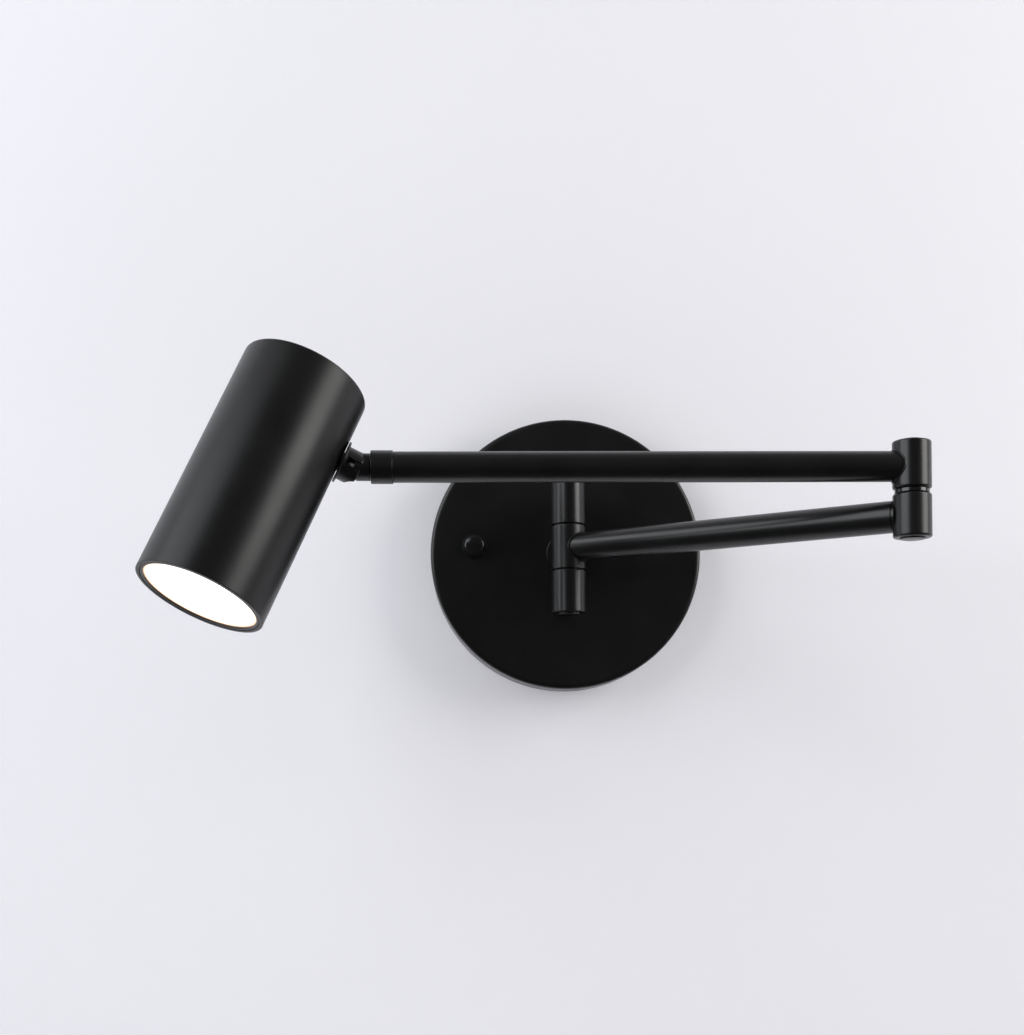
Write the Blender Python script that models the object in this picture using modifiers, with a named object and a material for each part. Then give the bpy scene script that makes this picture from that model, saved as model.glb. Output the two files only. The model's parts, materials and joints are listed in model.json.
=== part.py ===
"""Wall-mounted swing-arm reading lamp: a round canopy with a push switch, two arms that swing on
upright barrel hinges, and a tubular LED head on a roll, tilt and spin joint.

Frame: origin at the centre of the wall face, +X right, +Y into the wall, +Z up. Units are metres.
"""

import math

import bpy
from mathutils import Matrix, Vector

# Clearances between pieces that touch on the real lamp
GAP = 0.0003
FINE_GAP = 0.00015

# Canopy, the round cup on the wall
CANOPY_RADIUS = 0.0635
CANOPY_DEPTH = 0.021
CANOPY_WALL = 0.0012
CANOPY_EDGE_RADIUS = 0.002
SIDE_SCREW_Y = -0.008
SIDE_SCREW_RADIUS = 0.0018
SIDE_SCREW_CHAMFER = 0.0004
SIDE_SCREW_KEY_RADIUS = 0.0008
SIDE_SCREW_KEY_DEPTH = 0.0012

# Mounting strap behind the canopy
STRAP_LENGTH = 0.104
STRAP_WIDTH = 0.022
STRAP_THICKNESS = 0.0018
STRAP_TAB = 0.012
STRAP_SLOT_X = 0.032
STRAP_SLOT_LENGTH = 0.016
STRAP_SLOT_WIDTH = 0.005
GROUND_SCREW_X = 0.014
GROUND_SCREW_RADIUS = 0.0022
GROUND_SCREW_HEIGHT = 0.0016
GROUND_SCREW_CHAMFER = 0.0004

# LED driver and wire terminals, as the corners of their boxes
DRIVER_LOW = (-0.030, -0.0170, 0.016)
DRIVER_HIGH = (0.022, -0.0040, 0.040)
DRIVER_EDGE = 0.0008
TERMINAL_LOW = (-0.014, -0.0150, -0.038)
TERMINAL_HIGH = (0.014, -0.0040, -0.022)
TERMINAL_EDGE = 0.0005
TERMINAL_HOLE_X = (-0.0085, 0.0, 0.0085)
TERMINAL_HOLE_RADIUS = 0.0016
TERMINAL_HOLE_BOTTOM = 0.010

# Push switch
BUTTON_X = -0.0429
BUTTON_Z = 0.0036
BUTTON_RADIUS = 0.0047
BUTTON_HEIGHT = 0.0046
BUTTON_TRAVEL = 0.0018
BUTTON_LIP = 0.0002
BUTTON_SKIRT_RADIUS = 0.0041
BUTTON_STEM_RADIUS = 0.0012
BUTTON_STEM_DEPTH = 0.0060
BEZEL_RADIUS = 0.0056
BEZEL_HEIGHT = 0.0012
BEZEL_ROUND = 0.0004
SWITCH_NECK_RADIUS = 0.0050
SWITCH_NECK_RISE = 0.0006
SWITCH_LEDGE_DEPTH = 0.0013
SWITCH_WELL_RADIUS = 0.0037
SWITCH_WELL_DEPTH = 0.0085
SWITCH_BODY_RADIUS = 0.0062
SWITCH_BODY_LENGTH = 0.0115
SPRING_RADIUS = 0.0024
SPRING_WIRE_RADIUS = 0.00035
SPRING_LENGTH = 0.0054
SPRING_TURNS = 3
SPRING_STEPS = 10

# Barrel hinges
HUB_REACH = 0.039
BARREL_RADIUS = 0.0078
BARREL_CHAMFER = 0.0005
BORE_RADIUS = 0.0043
PIVOT_RADIUS = 0.0040
PIVOT_BORE = 0.0026
HUB_HALF_HEIGHT = 0.0296
HUB_GROOVE_Z = 0.01025
HUB_GROOVE_HALF = 0.0003
PLUG_RADIUS = 0.00515
PLUG_SHANK_RADIUS = 0.0023
PLUG_SHANK_LENGTH = 0.0055
PLUG_ROUND = 0.0006
HUB_PLUG_RISE = 0.0012
ELBOW_PLUG_RISE = 0.0007
HUB_PIVOT_INSET = 0.0015
ELBOW_PIVOT_INSET = 0.0012
HUB_WASHER_INSET = 0.0009
WIRE_PORT_RADIUS = 0.0030

# Boss and yoke that hold the hub barrels off the canopy
BOSS_RADIUS = 0.00925
BOSS_THICKNESS = 0.003
STUD_RADIUS = 0.0050
STUD_END = 0.0085
STUD_BORE = 0.0032
BOSS_ROUND = 0.0008
STUD_WASHER_RADIUS = 0.0088
STUD_WASHER_THICKNESS = 0.0013
STUD_NUT_RADIUS = 0.0080
STUD_NUT_END = 0.0058
YOKE_HALF_WIDTH = 0.0050
YOKE_HALF_HEIGHT = 0.0272
YOKE_EDGE = 0.0008
YOKE_WRAP = 0.55
YOKE_RELIEF = 0.0012
YOKE_CHANNEL_RADIUS = 0.0028

# Arms
SHOULDER_ANGLE = math.radians(33.0)
ELBOW_FOLD = math.radians(33.0)
LOWER_ARM_LENGTH = 0.159
UPPER_ARM_LENGTH = 0.2255
LOWER_TUBE_RADIUS = 0.00655
UPPER_TUBE_RADIUS = 0.0062
TUBE_WALL = 0.0010
UPPER_ARM_Z = 0.0197
ELBOW_BOTTOM_Z = -0.0092
ELBOW_LOWER_TOP_Z = 0.0085
ELBOW_UPPER_BOTTOM_Z = 0.0105
ELBOW_TOP_Z = 0.0299
ELBOW_NECK_RADIUS = 0.00695
ELBOW_SPIGOT_RADIUS = 0.0061
ELBOW_SPIGOT_REACH = 0.0097
ELBOW_SPIGOT_SHOULDER = 0.0075
ELBOW_SPIGOT_END = 0.0180
ELBOW_WASHER_CHAMFER = 0.0002
ELBOW_PORT_RADIUS = 0.0024

# Head joint, measured along the upper arm's axis back from the joint's centre
COLLAR_RADIUS = 0.00668
COLLAR_NEAR = 0.0075
COLLAR_LENGTH = 0.00885
COLLAR_SPIGOT_LENGTH = 0.0070
STEM_RADIUS = 0.0055
STEM_NEAR = 0.0015
JOURNAL_RADIUS = 0.0032
WIRE_BORE = 0.0016
BALL_RADIUS = 0.0042
BALL_NECK_RADIUS = 0.0021
BALL_BORE = 0.0011
BALL_NECK_END = 0.0064
STEM_POCKET_GAP = 0.0002
STEM_POCKET_DEPTH = 0.0034
STEM_SEAT_START = 0.0046
STEM_SEAT_END = 0.0066
STEM_TAIL = 0.0028
CLIP_INSET = 0.0008
CLIP_THICKNESS = 0.0010
CLIP_HEIGHT = 0.0011
COLLAR_CHAMFER = 0.0003

# Socket on the head's side, measured along the socket's own axis from the joint's centre
SOCKET_RADIUS = 0.00695
SOCKET_RIM = 0.0026
SOCKET_FLANGE_RADIUS = 0.00865
SOCKET_FLANGE_THICKNESS = 0.0010
SOCKET_SPIGOT_RADIUS = 0.0040
SOCKET_SPIGOT_END = 0.0112
SOCKET_WASHER_RADIUS = 0.0058
SOCKET_WASHER_THICKNESS = 0.0008
SOCKET_NUT_RADIUS = 0.0066
SOCKET_NUT_INSET = 0.0004
SOCKET_ROUND = 0.0012
SOCKET_CROWN = 0.0009
SOCKET_FILLET = 0.0005
SOCKET_BORE = 0.0013
SOCKET_SLOT_BOTTOM = 0.002
SOCKET_SLOT_END = 0.0028
STEM_ROOM = 0.00035
PIVOT_SCREW_TIP = 0.0022
PIVOT_SCREW_INSET = 0.0002
SCREW_TIP_ROOM = 0.0004
SOCKET_SLOT_WIDTH = 0.0031
SOCKET_SLOT_ANGLE = math.radians(25.0)
TILT_LIMITS = (math.radians(0.0), math.radians(19.0), math.radians(38.0))
PIVOT_SCREW_RADIUS = 0.0009

# How the head is turned on its joint
STEM_ROLL = math.radians(20.7)
HEAD_TILT = math.radians(26.9)
HEAD_SPIN = math.radians(34.8)

# Head
HEAD_RADIUS = 0.0261
HEAD_WALL = 0.0015
HEAD_OFFSET = 0.03125
HEAD_ABOVE = 0.0250
HEAD_BELOW = 0.0770
HEAD_EDGE_RADIUS = 0.0018
HEAD_LIP_CHAMFER = 0.0003
DIFFUSER_THICKNESS = 0.0022
RING_INNER_RADIUS = 0.0233
RING_THICKNESS = 0.0007
RING_SETBACK = 0.0002
REFLECTOR_LENGTH = 0.021
REFLECTOR_THROAT = 0.0090
REFLECTOR_WALL = 0.0009
REFLECTOR_FLANGE = 0.0020
REFLECTOR_SLOPE = 0.0012
BOARD_RADIUS = 0.0150
BOARD_THICKNESS = 0.0016
EMITTER_RADIUS = 0.0075
EMITTER_HEIGHT = 0.0011
SINK_RADIUS = 0.0218
SINK_CORE_RADIUS = 0.0100
SINK_FINS = 4
SINK_FIN_PITCH = 0.0070
SINK_FIN_THICKNESS = 0.0020
SINK_BASE = 0.0050
BOARD_SCREW_CIRCLE = 0.0122
BOARD_SCREW_SHANK = 0.0009
BOARD_SCREW_HOLE = 0.0011
BOARD_SCREW_HEAD = 0.0017
BOARD_SCREW_DEPTH = 0.0034

# Wires
WIRE_RADIUS = 0.0011
HEAD_WIRE_RADIUS = 0.0009
HEAD_WIRE_PLACE = 0.0232

# Segments round a turned piece
COARSE = 12
SMALL = 18
MEDIUM = 26
LARGE = 48

PARTS = "swing_arm_wall_lamp"
CUTTERS = "cutters"
SHARP_ANGLE = math.radians(32.0)
EXTRA = 0.002


# ---------------------------------------------------------------- scene helpers


def clear_scene():
    for obj in list(bpy.data.objects):
        bpy.data.objects.remove(obj, do_unlink=True)


def new_collection(name):
    collection = bpy.data.collections.new(name)
    bpy.context.scene.collection.children.link(collection)
    return collection


def principled(name, color, roughness, metallic=0.0, glow=0.0):
    material = bpy.data.materials.new(name)
    material.use_nodes = True
    shader = material.node_tree.nodes["Principled BSDF"]
    shader.inputs["Base Color"].default_value = (*color, 1.0)
    shader.inputs["Roughness"].default_value = roughness
    shader.inputs["Metallic"].default_value = metallic
    if glow:
        shader.inputs["Emission Color"].default_value = (*color, 1.0)
        shader.inputs["Emission Strength"].default_value = glow
    return material


def frame(name, parent=None, matrix=None):
    """An empty that carries one moving body, with its origin on the body's joint axis."""
    empty = bpy.data.objects.new(name, None)
    empty.empty_display_size = 0.01
    bpy.data.collections[PARTS].objects.link(empty)
    empty.parent = parent
    empty.matrix_basis = matrix if matrix else Matrix()
    return empty


def place(obj, body, location=(0, 0, 0), axis=(0, 0, 1), collection=PARTS):
    """Puts an object in a body's frame, with its own Z along the axis given in that frame."""
    bpy.data.collections[collection].objects.link(obj)
    obj.parent = body
    obj.matrix_basis = Matrix.Translation(location) @ axis_turn(axis)
    return obj


def axis_turn(axis):
    """The least rotation that takes +Z to an axis."""
    return Vector((0, 0, 1)).rotation_difference(Vector(axis)).to_matrix().to_4x4()


def cutter(obj):
    obj.hide_render = True
    obj.display_type = "WIRE"
    return obj


def boolean(obj, tool, operation="DIFFERENCE"):
    modifier = obj.modifiers.new(f"{operation.lower()}_{tool.name}", "BOOLEAN")
    modifier.operation = operation
    modifier.solver = "EXACT"
    modifier.object = tool
    return obj


def shade(obj):
    """Applies the modifiers, so that smooth shading can stop at the sharp edges."""
    graph = bpy.context.evaluated_depsgraph_get()
    mesh = bpy.data.meshes.new_from_object(obj.evaluated_get(graph))
    mesh.name = obj.name
    mesh.shade_smooth()
    mesh.set_sharp_from_angle(angle=SHARP_ANGLE)
    return mesh


# ---------------------------------------------------------------- shape helpers


def arc(center_r, center_z, radius, start, end, count):
    """Points on a round edge, from one angle to the other, in degrees from +R."""
    points = []
    for index in range(count + 1):
        angle = math.radians(start + (end - start) * index / count)
        points.append((center_r + radius * math.cos(angle), center_z + radius * math.sin(angle)))
    return points


def rod(radius, low, high, chamfer=0.0):
    """Profile of a solid rod, from its top centre down its outer side."""
    if not chamfer:
        return [(0, high), (radius, high), (radius, low), (0, low)]
    return [
        (0, high),
        (radius - chamfer, high),
        (radius, high - chamfer),
        (radius, low + chamfer),
        (radius - chamfer, low),
        (0, low),
    ]


def pipe(radius, bore, low, high, chamfer=0.0):
    """Profile of a hollow tube: down its outer side and up its bore."""
    outer = rod(radius, low, high, chamfer)[1:-1]
    return outer + [(bore, low), (bore, high)]


def turned(name, profile, material, steps):
    """A turned piece about its own Z. A profile that leaves the axis alone is closed into a ring."""
    mesh = bpy.data.meshes.new(name)
    points = [(radius, 0, height) for radius, height in profile]
    edges = [(index, index + 1) for index in range(len(points) - 1)]
    if profile[0][0] > 0:
        edges.append((len(points) - 1, 0))
    mesh.from_pydata(points, edges, [])
    if material:
        mesh.materials.append(material)
    obj = bpy.data.objects.new(name, mesh)
    screw = obj.modifiers.new("turn", "SCREW")
    screw.steps = steps
    screw.render_steps = steps
    screw.use_merge_vertices = True
    screw.merge_threshold = 0.00001
    return obj


def box(name, low, high, material=None, bevel=0.0):
    """A box between two corners, with its edges rounded when a bevel is given."""
    bpy.ops.mesh.primitive_cube_add(size=1.0)
    obj = bpy.context.object
    for collection in list(obj.users_collection):
        collection.objects.unlink(obj)
    obj.name = name
    size = Vector(high) - Vector(low)
    middle = (Vector(high) + Vector(low)) / 2
    obj.data.transform(Matrix.Translation(middle) @ Matrix.Diagonal((*size, 1.0)))
    if material:
        obj.data.materials.append(material)
    if bevel:
        modifier = obj.modifiers.new("edges", "BEVEL")
        modifier.width = bevel
        modifier.segments = 2
    return obj


def hex_nut(name, body, axis, radius, bore, low, high, material):
    """A hexagonal nut with a round bore, placed along an axis of a body's frame."""
    nut = place(turned(name, rod(radius, low, high), material, 6), body, axis=axis)
    hole = turned(f"{name}_bore", rod(bore, low - EXTRA, high + EXTRA), None, SMALL)
    place(cutter(hole), body, axis=axis, collection=CUTTERS)
    return boolean(nut, hole)


def wire(name, points, radius, material):
    """A bent wire as a curve with round section and closed ends."""
    curve = bpy.data.curves.new(name, "CURVE")
    curve.dimensions = "3D"
    curve.bevel_depth = radius
    curve.bevel_resolution = 2
    curve.use_fill_caps = True
    spline = curve.splines.new("POLY")
    spline.points.add(len(points) - 1)
    for point, position in zip(spline.points, points):
        point.co = (*position, 1.0)
    curve.materials.append(material)
    return bpy.data.objects.new(name, curve)


def smooth_route(corners, steps=5):
    """A Catmull-Rom curve through the corners of a route."""
    padded = [corners[0], *corners, corners[-1]]
    points = []
    for index in range(1, len(padded) - 2):
        before, start, end, after = (Vector(padded[index + shift]) for shift in (-1, 0, 1, 2))
        for step in range(steps):
            t = step / steps
            points.append(
                0.5
                * (
                    2 * start
                    + (end - before) * t
                    + (2 * before - 5 * start + 4 * end - after) * t**2
                    + (3 * start - before - 3 * end + after) * t**3
                )
            )
    points.append(Vector(corners[-1]))
    return points


# ---------------------------------------------------------------- pieces


def make_canopy(base, paint):
    """Pressed steel cup, open to the wall, with holes for the stud, the switch and two side screws."""
    inner_edge = CANOPY_EDGE_RADIUS - CANOPY_WALL
    outer_r = CANOPY_RADIUS - CANOPY_EDGE_RADIUS
    outer_z = CANOPY_DEPTH - CANOPY_EDGE_RADIUS
    profile = [(STUD_RADIUS + GAP, CANOPY_DEPTH)]
    profile += arc(outer_r, outer_z, CANOPY_EDGE_RADIUS, 90, 0, 3)
    profile += [(CANOPY_RADIUS, 0), (CANOPY_RADIUS - CANOPY_WALL, 0)]
    profile += arc(outer_r, outer_z, inner_edge, 0, 90, 2)
    profile += [(STUD_RADIUS + GAP, CANOPY_DEPTH - CANOPY_WALL)]
    canopy = place(turned("canopy", profile, paint, LARGE), base, axis=(0, -1, 0))
    hole = turned("switch_hole", rod(SWITCH_NECK_RADIUS + GAP, 0.01, 0.03), None, SMALL)
    place(cutter(hole), base, (BUTTON_X, 0, BUTTON_Z), (0, -1, 0), CUTTERS)
    boolean(canopy, hole)
    drill = rod(SIDE_SCREW_RADIUS + GAP, CANOPY_RADIUS * 0.87, CANOPY_RADIUS * 1.1)
    for side, sign in (("left", -1), ("right", 1)):
        hole = turned(f"side_hole_{side}", drill, None, COARSE)
        place(cutter(hole), base, (0, SIDE_SCREW_Y, 0), (sign, 0, 0), CUTTERS)
        boolean(canopy, hole)


def make_strap(base, zinc, brass):
    """Steel strap that is screwed to the wall box. Its bent ends take the canopy's side screws."""
    half = STRAP_LENGTH / 2
    wide = STRAP_WIDTH / 2
    strap = box("mounting_strap", (-half, -STRAP_THICKNESS, -wide), (half, 0, wide), zinc)
    place(strap, base)
    for side, sign in (("left", -1), ("right", 1)):
        ends = sorted((sign * half, sign * (half - STRAP_THICKNESS)))
        low = (ends[0], -STRAP_TAB, -wide / 2)
        high = (ends[1], -STRAP_THICKNESS / 2, wide / 2)
        tab = box(f"strap_tab_{side}", low, high)
        place(cutter(tab), base, collection=CUTTERS)
        boolean(strap, tab, "UNION")
        drill = rod(SIDE_SCREW_RADIUS + GAP, half * 0.8, half * 1.2)
        hole = turned(f"strap_tab_hole_{side}", drill, None, COARSE)
        place(cutter(hole), base, (0, SIDE_SCREW_Y, 0), (sign, 0, 0), CUTTERS)
        boolean(strap, hole)
        middle = sign * STRAP_SLOT_X
        low = (middle - STRAP_SLOT_LENGTH / 2, -EXTRA * 2, -STRAP_SLOT_WIDTH / 2)
        high = (middle + STRAP_SLOT_LENGTH / 2, EXTRA, STRAP_SLOT_WIDTH / 2)
        slot = box(f"strap_slot_{side}", low, high)
        place(cutter(slot), base, collection=CUTTERS)
        boolean(strap, slot)
    screw = rod(GROUND_SCREW_RADIUS, 0, GROUND_SCREW_HEIGHT, GROUND_SCREW_CHAMFER)
    spot = (GROUND_SCREW_X, -STRAP_THICKNESS - GAP, 0)
    place(turned("ground_screw", screw, brass, COARSE), base, spot, (0, -1, 0))


def make_side_screws(base, steel):
    """Flush grub screws through the canopy's wall into the strap's tabs."""
    inner = STRAP_LENGTH / 2 - STRAP_THICKNESS + FINE_GAP
    outer = CANOPY_RADIUS - FINE_GAP
    floor = outer - SIDE_SCREW_KEY_DEPTH
    profile = [(0, floor), (SIDE_SCREW_KEY_RADIUS, floor), (SIDE_SCREW_KEY_RADIUS, outer)]
    profile += rod(SIDE_SCREW_RADIUS, inner, outer, SIDE_SCREW_CHAMFER)[1:3]
    profile += [(SIDE_SCREW_RADIUS, inner), (0, inner)]
    for side, sign in (("left", -1), ("right", 1)):
        screw = turned(f"side_screw_{side}", profile, steel, COARSE)
        place(screw, base, (0, SIDE_SCREW_Y, 0), (sign, 0, 0))


def make_switch(base, button, paint, plastic, spring_steel):
    """Push switch: body and threaded neck, bezel nut on the face, sprung domed cap."""
    face = CANOPY_DEPTH
    back = face - CANOPY_WALL - GAP
    end = back - SWITCH_BODY_LENGTH
    rim = face + SWITCH_NECK_RISE
    ledge = face - SWITCH_LEDGE_DEPTH
    well = face - SWITCH_WELL_DEPTH
    bore = BUTTON_SKIRT_RADIUS + GAP
    spot = (BUTTON_X, 0, BUTTON_Z)
    profile = [(0, well), (SWITCH_WELL_RADIUS, well), (SWITCH_WELL_RADIUS, ledge), (bore, ledge)]
    profile += [(bore, rim), (SWITCH_NECK_RADIUS, rim), (SWITCH_NECK_RADIUS, back)]
    profile += [(SWITCH_BODY_RADIUS, back), (SWITCH_BODY_RADIUS, end), (0, end)]
    place(turned("switch_body", profile, plastic, SMALL), base, spot, (0, -1, 0))
    top = face + BEZEL_HEIGHT
    thread = SWITCH_NECK_RADIUS + FINE_GAP
    ring = [(bore, top)]
    ring += arc(BEZEL_RADIUS - BEZEL_ROUND, top - BEZEL_ROUND, BEZEL_ROUND, 90, 0, 2)
    ring += [(BEZEL_RADIUS, face + GAP), (thread, face + GAP)]
    ring += [(thread, rim + FINE_GAP), (bore, rim + FINE_GAP)]
    place(turned("switch_bezel", ring, paint, SMALL), base, spot, (0, -1, 0))
    lip = top + BUTTON_TRAVEL + FINE_GAP
    skirt = rim + GAP
    tip = face - BUTTON_STEM_DEPTH
    cap = dome(BUTTON_RADIUS, lip + BUTTON_LIP, face + BUTTON_HEIGHT, 6)
    cap += [(BUTTON_RADIUS, lip), (BUTTON_SKIRT_RADIUS, lip), (BUTTON_SKIRT_RADIUS, skirt)]
    cap += [(BUTTON_STEM_RADIUS, skirt), (BUTTON_STEM_RADIUS, tip), (0, tip)]
    place(turned("push_button", cap, plastic, SMALL), button, axis=(0, -1, 0))
    coil = []
    for index in range(SPRING_TURNS * SPRING_STEPS + 1):
        angle = 2 * math.pi * index / SPRING_STEPS
        height = tip + GAP + SPRING_LENGTH * index / (SPRING_TURNS * SPRING_STEPS)
        coil.append((SPRING_RADIUS * math.cos(angle), -height, SPRING_RADIUS * math.sin(angle)))
    place(wire("button_spring", coil, SPRING_WIRE_RADIUS, spring_steel), button)


def dome(radius, low, high, count):
    """Quarter of an ellipse from the axis at the top down to the outer side."""
    points = []
    for index in range(count + 1):
        angle = math.pi / 2 * (1 - index / count)
        points.append((radius * math.cos(angle), low + (high - low) * math.sin(angle)))
    return points


def make_canopy_electrics(base, plastic, board, copper):
    """LED driver and wire terminals behind the canopy's face, and the lead up to the stud."""
    driver = box("led_driver", DRIVER_LOW, DRIVER_HIGH, plastic, DRIVER_EDGE)
    place(driver, base)
    block = box("terminal_block", TERMINAL_LOW, TERMINAL_HIGH, board, TERMINAL_EDGE)
    height = (TERMINAL_LOW[2] + TERMINAL_HIGH[2]) / 2
    depth = rod(TERMINAL_HOLE_RADIUS, TERMINAL_HOLE_BOTTOM, EXTRA - TERMINAL_LOW[1])
    for index, x in enumerate(TERMINAL_HOLE_X):
        hole = turned(f"terminal_hole_{index}", depth, None, COARSE)
        place(cutter(hole), base, (x, 0, height), (0, -1, 0), CUTTERS)
        boolean(block, hole)
    place(block, base)
    corners = [(0, -0.0095, 0.0155), (0, -0.0078, 0.0120), (0, -0.0062, 0.0060), (0, -0.0068, 0.0015)]
    corners += [(0, -0.0110, 0), (0, -0.0200, 0), (0, -0.0270, 0)]
    place(wire("canopy_lead", smooth_route(corners, 4), WIRE_RADIUS, copper), base)
    corners = [(0, -0.0095, 0.0405), (0.004, -0.0090, 0.0440), (0.026, -0.0085, 0.0380)]
    corners += [(0.028, -0.0080, 0.0100), (0.024, -0.0075, -0.0200), (0.0146, -0.0090, -0.0300)]
    place(wire("driver_lead", smooth_route(corners, 4), WIRE_RADIUS, copper), base)
    corners = [(-0.0146, -0.0090, -0.0300), (-0.026, -0.0075, -0.0240), (-0.0400, -0.0048, -0.0110)]
    corners += [(BUTTON_X, -0.0048, -0.0010), (BUTTON_X, -0.0062, BUTTON_Z)]
    place(wire("switch_lead", smooth_route(corners, 4), WIRE_RADIUS, copper), base)


def make_boss(base, paint, steel):
    """Round boss on the canopy's face, its hollow threaded stud, and the nut behind."""
    face = CANOPY_DEPTH + FINE_GAP
    top = face + BOSS_THICKNESS
    profile = [(STUD_BORE, top)]
    profile += arc(BOSS_RADIUS - BOSS_ROUND, top - BOSS_ROUND, BOSS_ROUND, 90, 0, 2)
    profile += [(BOSS_RADIUS, face), (STUD_RADIUS, face), (STUD_RADIUS, STUD_END)]
    profile += [(STUD_BORE, STUD_END)]
    place(turned("hub_boss", profile, paint, MEDIUM), base, axis=(0, -1, 0))
    back = CANOPY_DEPTH - CANOPY_WALL
    bore = STUD_RADIUS + FINE_GAP
    seat = back - STUD_WASHER_THICKNESS
    washer = pipe(STUD_WASHER_RADIUS, bore, seat, back - FINE_GAP)
    place(turned("stud_washer", washer, steel, SMALL), base, axis=(0, -1, 0))
    end = back - STUD_NUT_END
    hex_nut("stud_nut", base, (0, -1, 0), STUD_NUT_RADIUS, bore, end, seat - FINE_GAP, steel)


def make_yoke(base, paint):
    """C-shaped yoke: a web behind the hub that carries the fixed upper and lower barrels."""
    front = -HUB_REACH + BARREL_RADIUS * YOKE_WRAP
    back = -(CANOPY_DEPTH + BOSS_THICKNESS + 2 * FINE_GAP)
    low = (-YOKE_HALF_WIDTH, front, -YOKE_HALF_HEIGHT)
    high = (YOKE_HALF_WIDTH, back, YOKE_HALF_HEIGHT)
    yoke = box("hub_yoke", low, high, paint, YOKE_EDGE)
    place(yoke, base)
    spot = (0, -HUB_REACH, 0)
    seat = turned("yoke_seat", rod(BARREL_RADIUS + FINE_GAP, -HUB_REACH, HUB_REACH), None, MEDIUM)
    place(cutter(seat), base, spot, collection=CUTTERS)
    boolean(yoke, seat)
    swing = HUB_GROOVE_Z + YOKE_EDGE
    relief = turned("yoke_relief", rod(BARREL_RADIUS + YOKE_RELIEF, -swing, swing), None, MEDIUM)
    place(cutter(relief), base, spot, collection=CUTTERS)
    boolean(yoke, relief)
    channel = turned("yoke_channel", rod(YOKE_CHANNEL_RADIUS, STUD_END, HUB_REACH), None, SMALL)
    place(cutter(channel), base, axis=(0, -1, 0), collection=CUTTERS)
    boolean(yoke, channel)


def make_hub(base, paint, steel, nylon):
    """Fixed barrels, hollow pivot, friction washers and end plugs of the shoulder hinge."""
    spot = (0, -HUB_REACH, 0)
    edge = HUB_GROOVE_Z + HUB_GROOVE_HALF
    for name, low, high in (
        ("hub_barrel_top", edge, HUB_HALF_HEIGHT),
        ("hub_barrel_bottom", -HUB_HALF_HEIGHT, -edge),
    ):
        barrel = pipe(BARREL_RADIUS, BORE_RADIUS, low, high, BARREL_CHAMFER)
        place(turned(name, barrel, paint, MEDIUM), base, spot)
    half = HUB_HALF_HEIGHT - HUB_PIVOT_INSET
    place(turned("hub_pivot", pipe(PIVOT_RADIUS, PIVOT_BORE, -half, half), steel, SMALL), base, spot)
    for name, sign in (("hub_washer_top", 1), ("hub_washer_bottom", -1)):
        middle = sign * HUB_GROOVE_Z
        half = HUB_GROOVE_HALF / 2
        ring = pipe(BARREL_RADIUS - HUB_WASHER_INSET, BORE_RADIUS, middle - half, middle + half)
        place(turned(name, ring, nylon, MEDIUM), base, spot)
    for name, sign in (("hub_plug_top", 1), ("hub_plug_bottom", -1)):
        plug = end_plug(HUB_HALF_HEIGHT + FINE_GAP, HUB_PLUG_RISE)
        place(turned(name, plug, paint, SMALL), base, spot, (0, 0, sign))


def end_plug(seat, rise):
    """Profile of a low domed plug whose shank goes into a hollow pivot."""
    top = seat + rise
    profile = [(0, top)]
    tip = seat - PLUG_SHANK_LENGTH
    profile += arc(PLUG_RADIUS - PLUG_ROUND, top - PLUG_ROUND, PLUG_ROUND, 90, 0, 2)
    profile += [(PLUG_RADIUS, seat), (PLUG_SHANK_RADIUS, seat), (PLUG_SHANK_RADIUS, tip), (0, tip)]
    return profile


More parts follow.
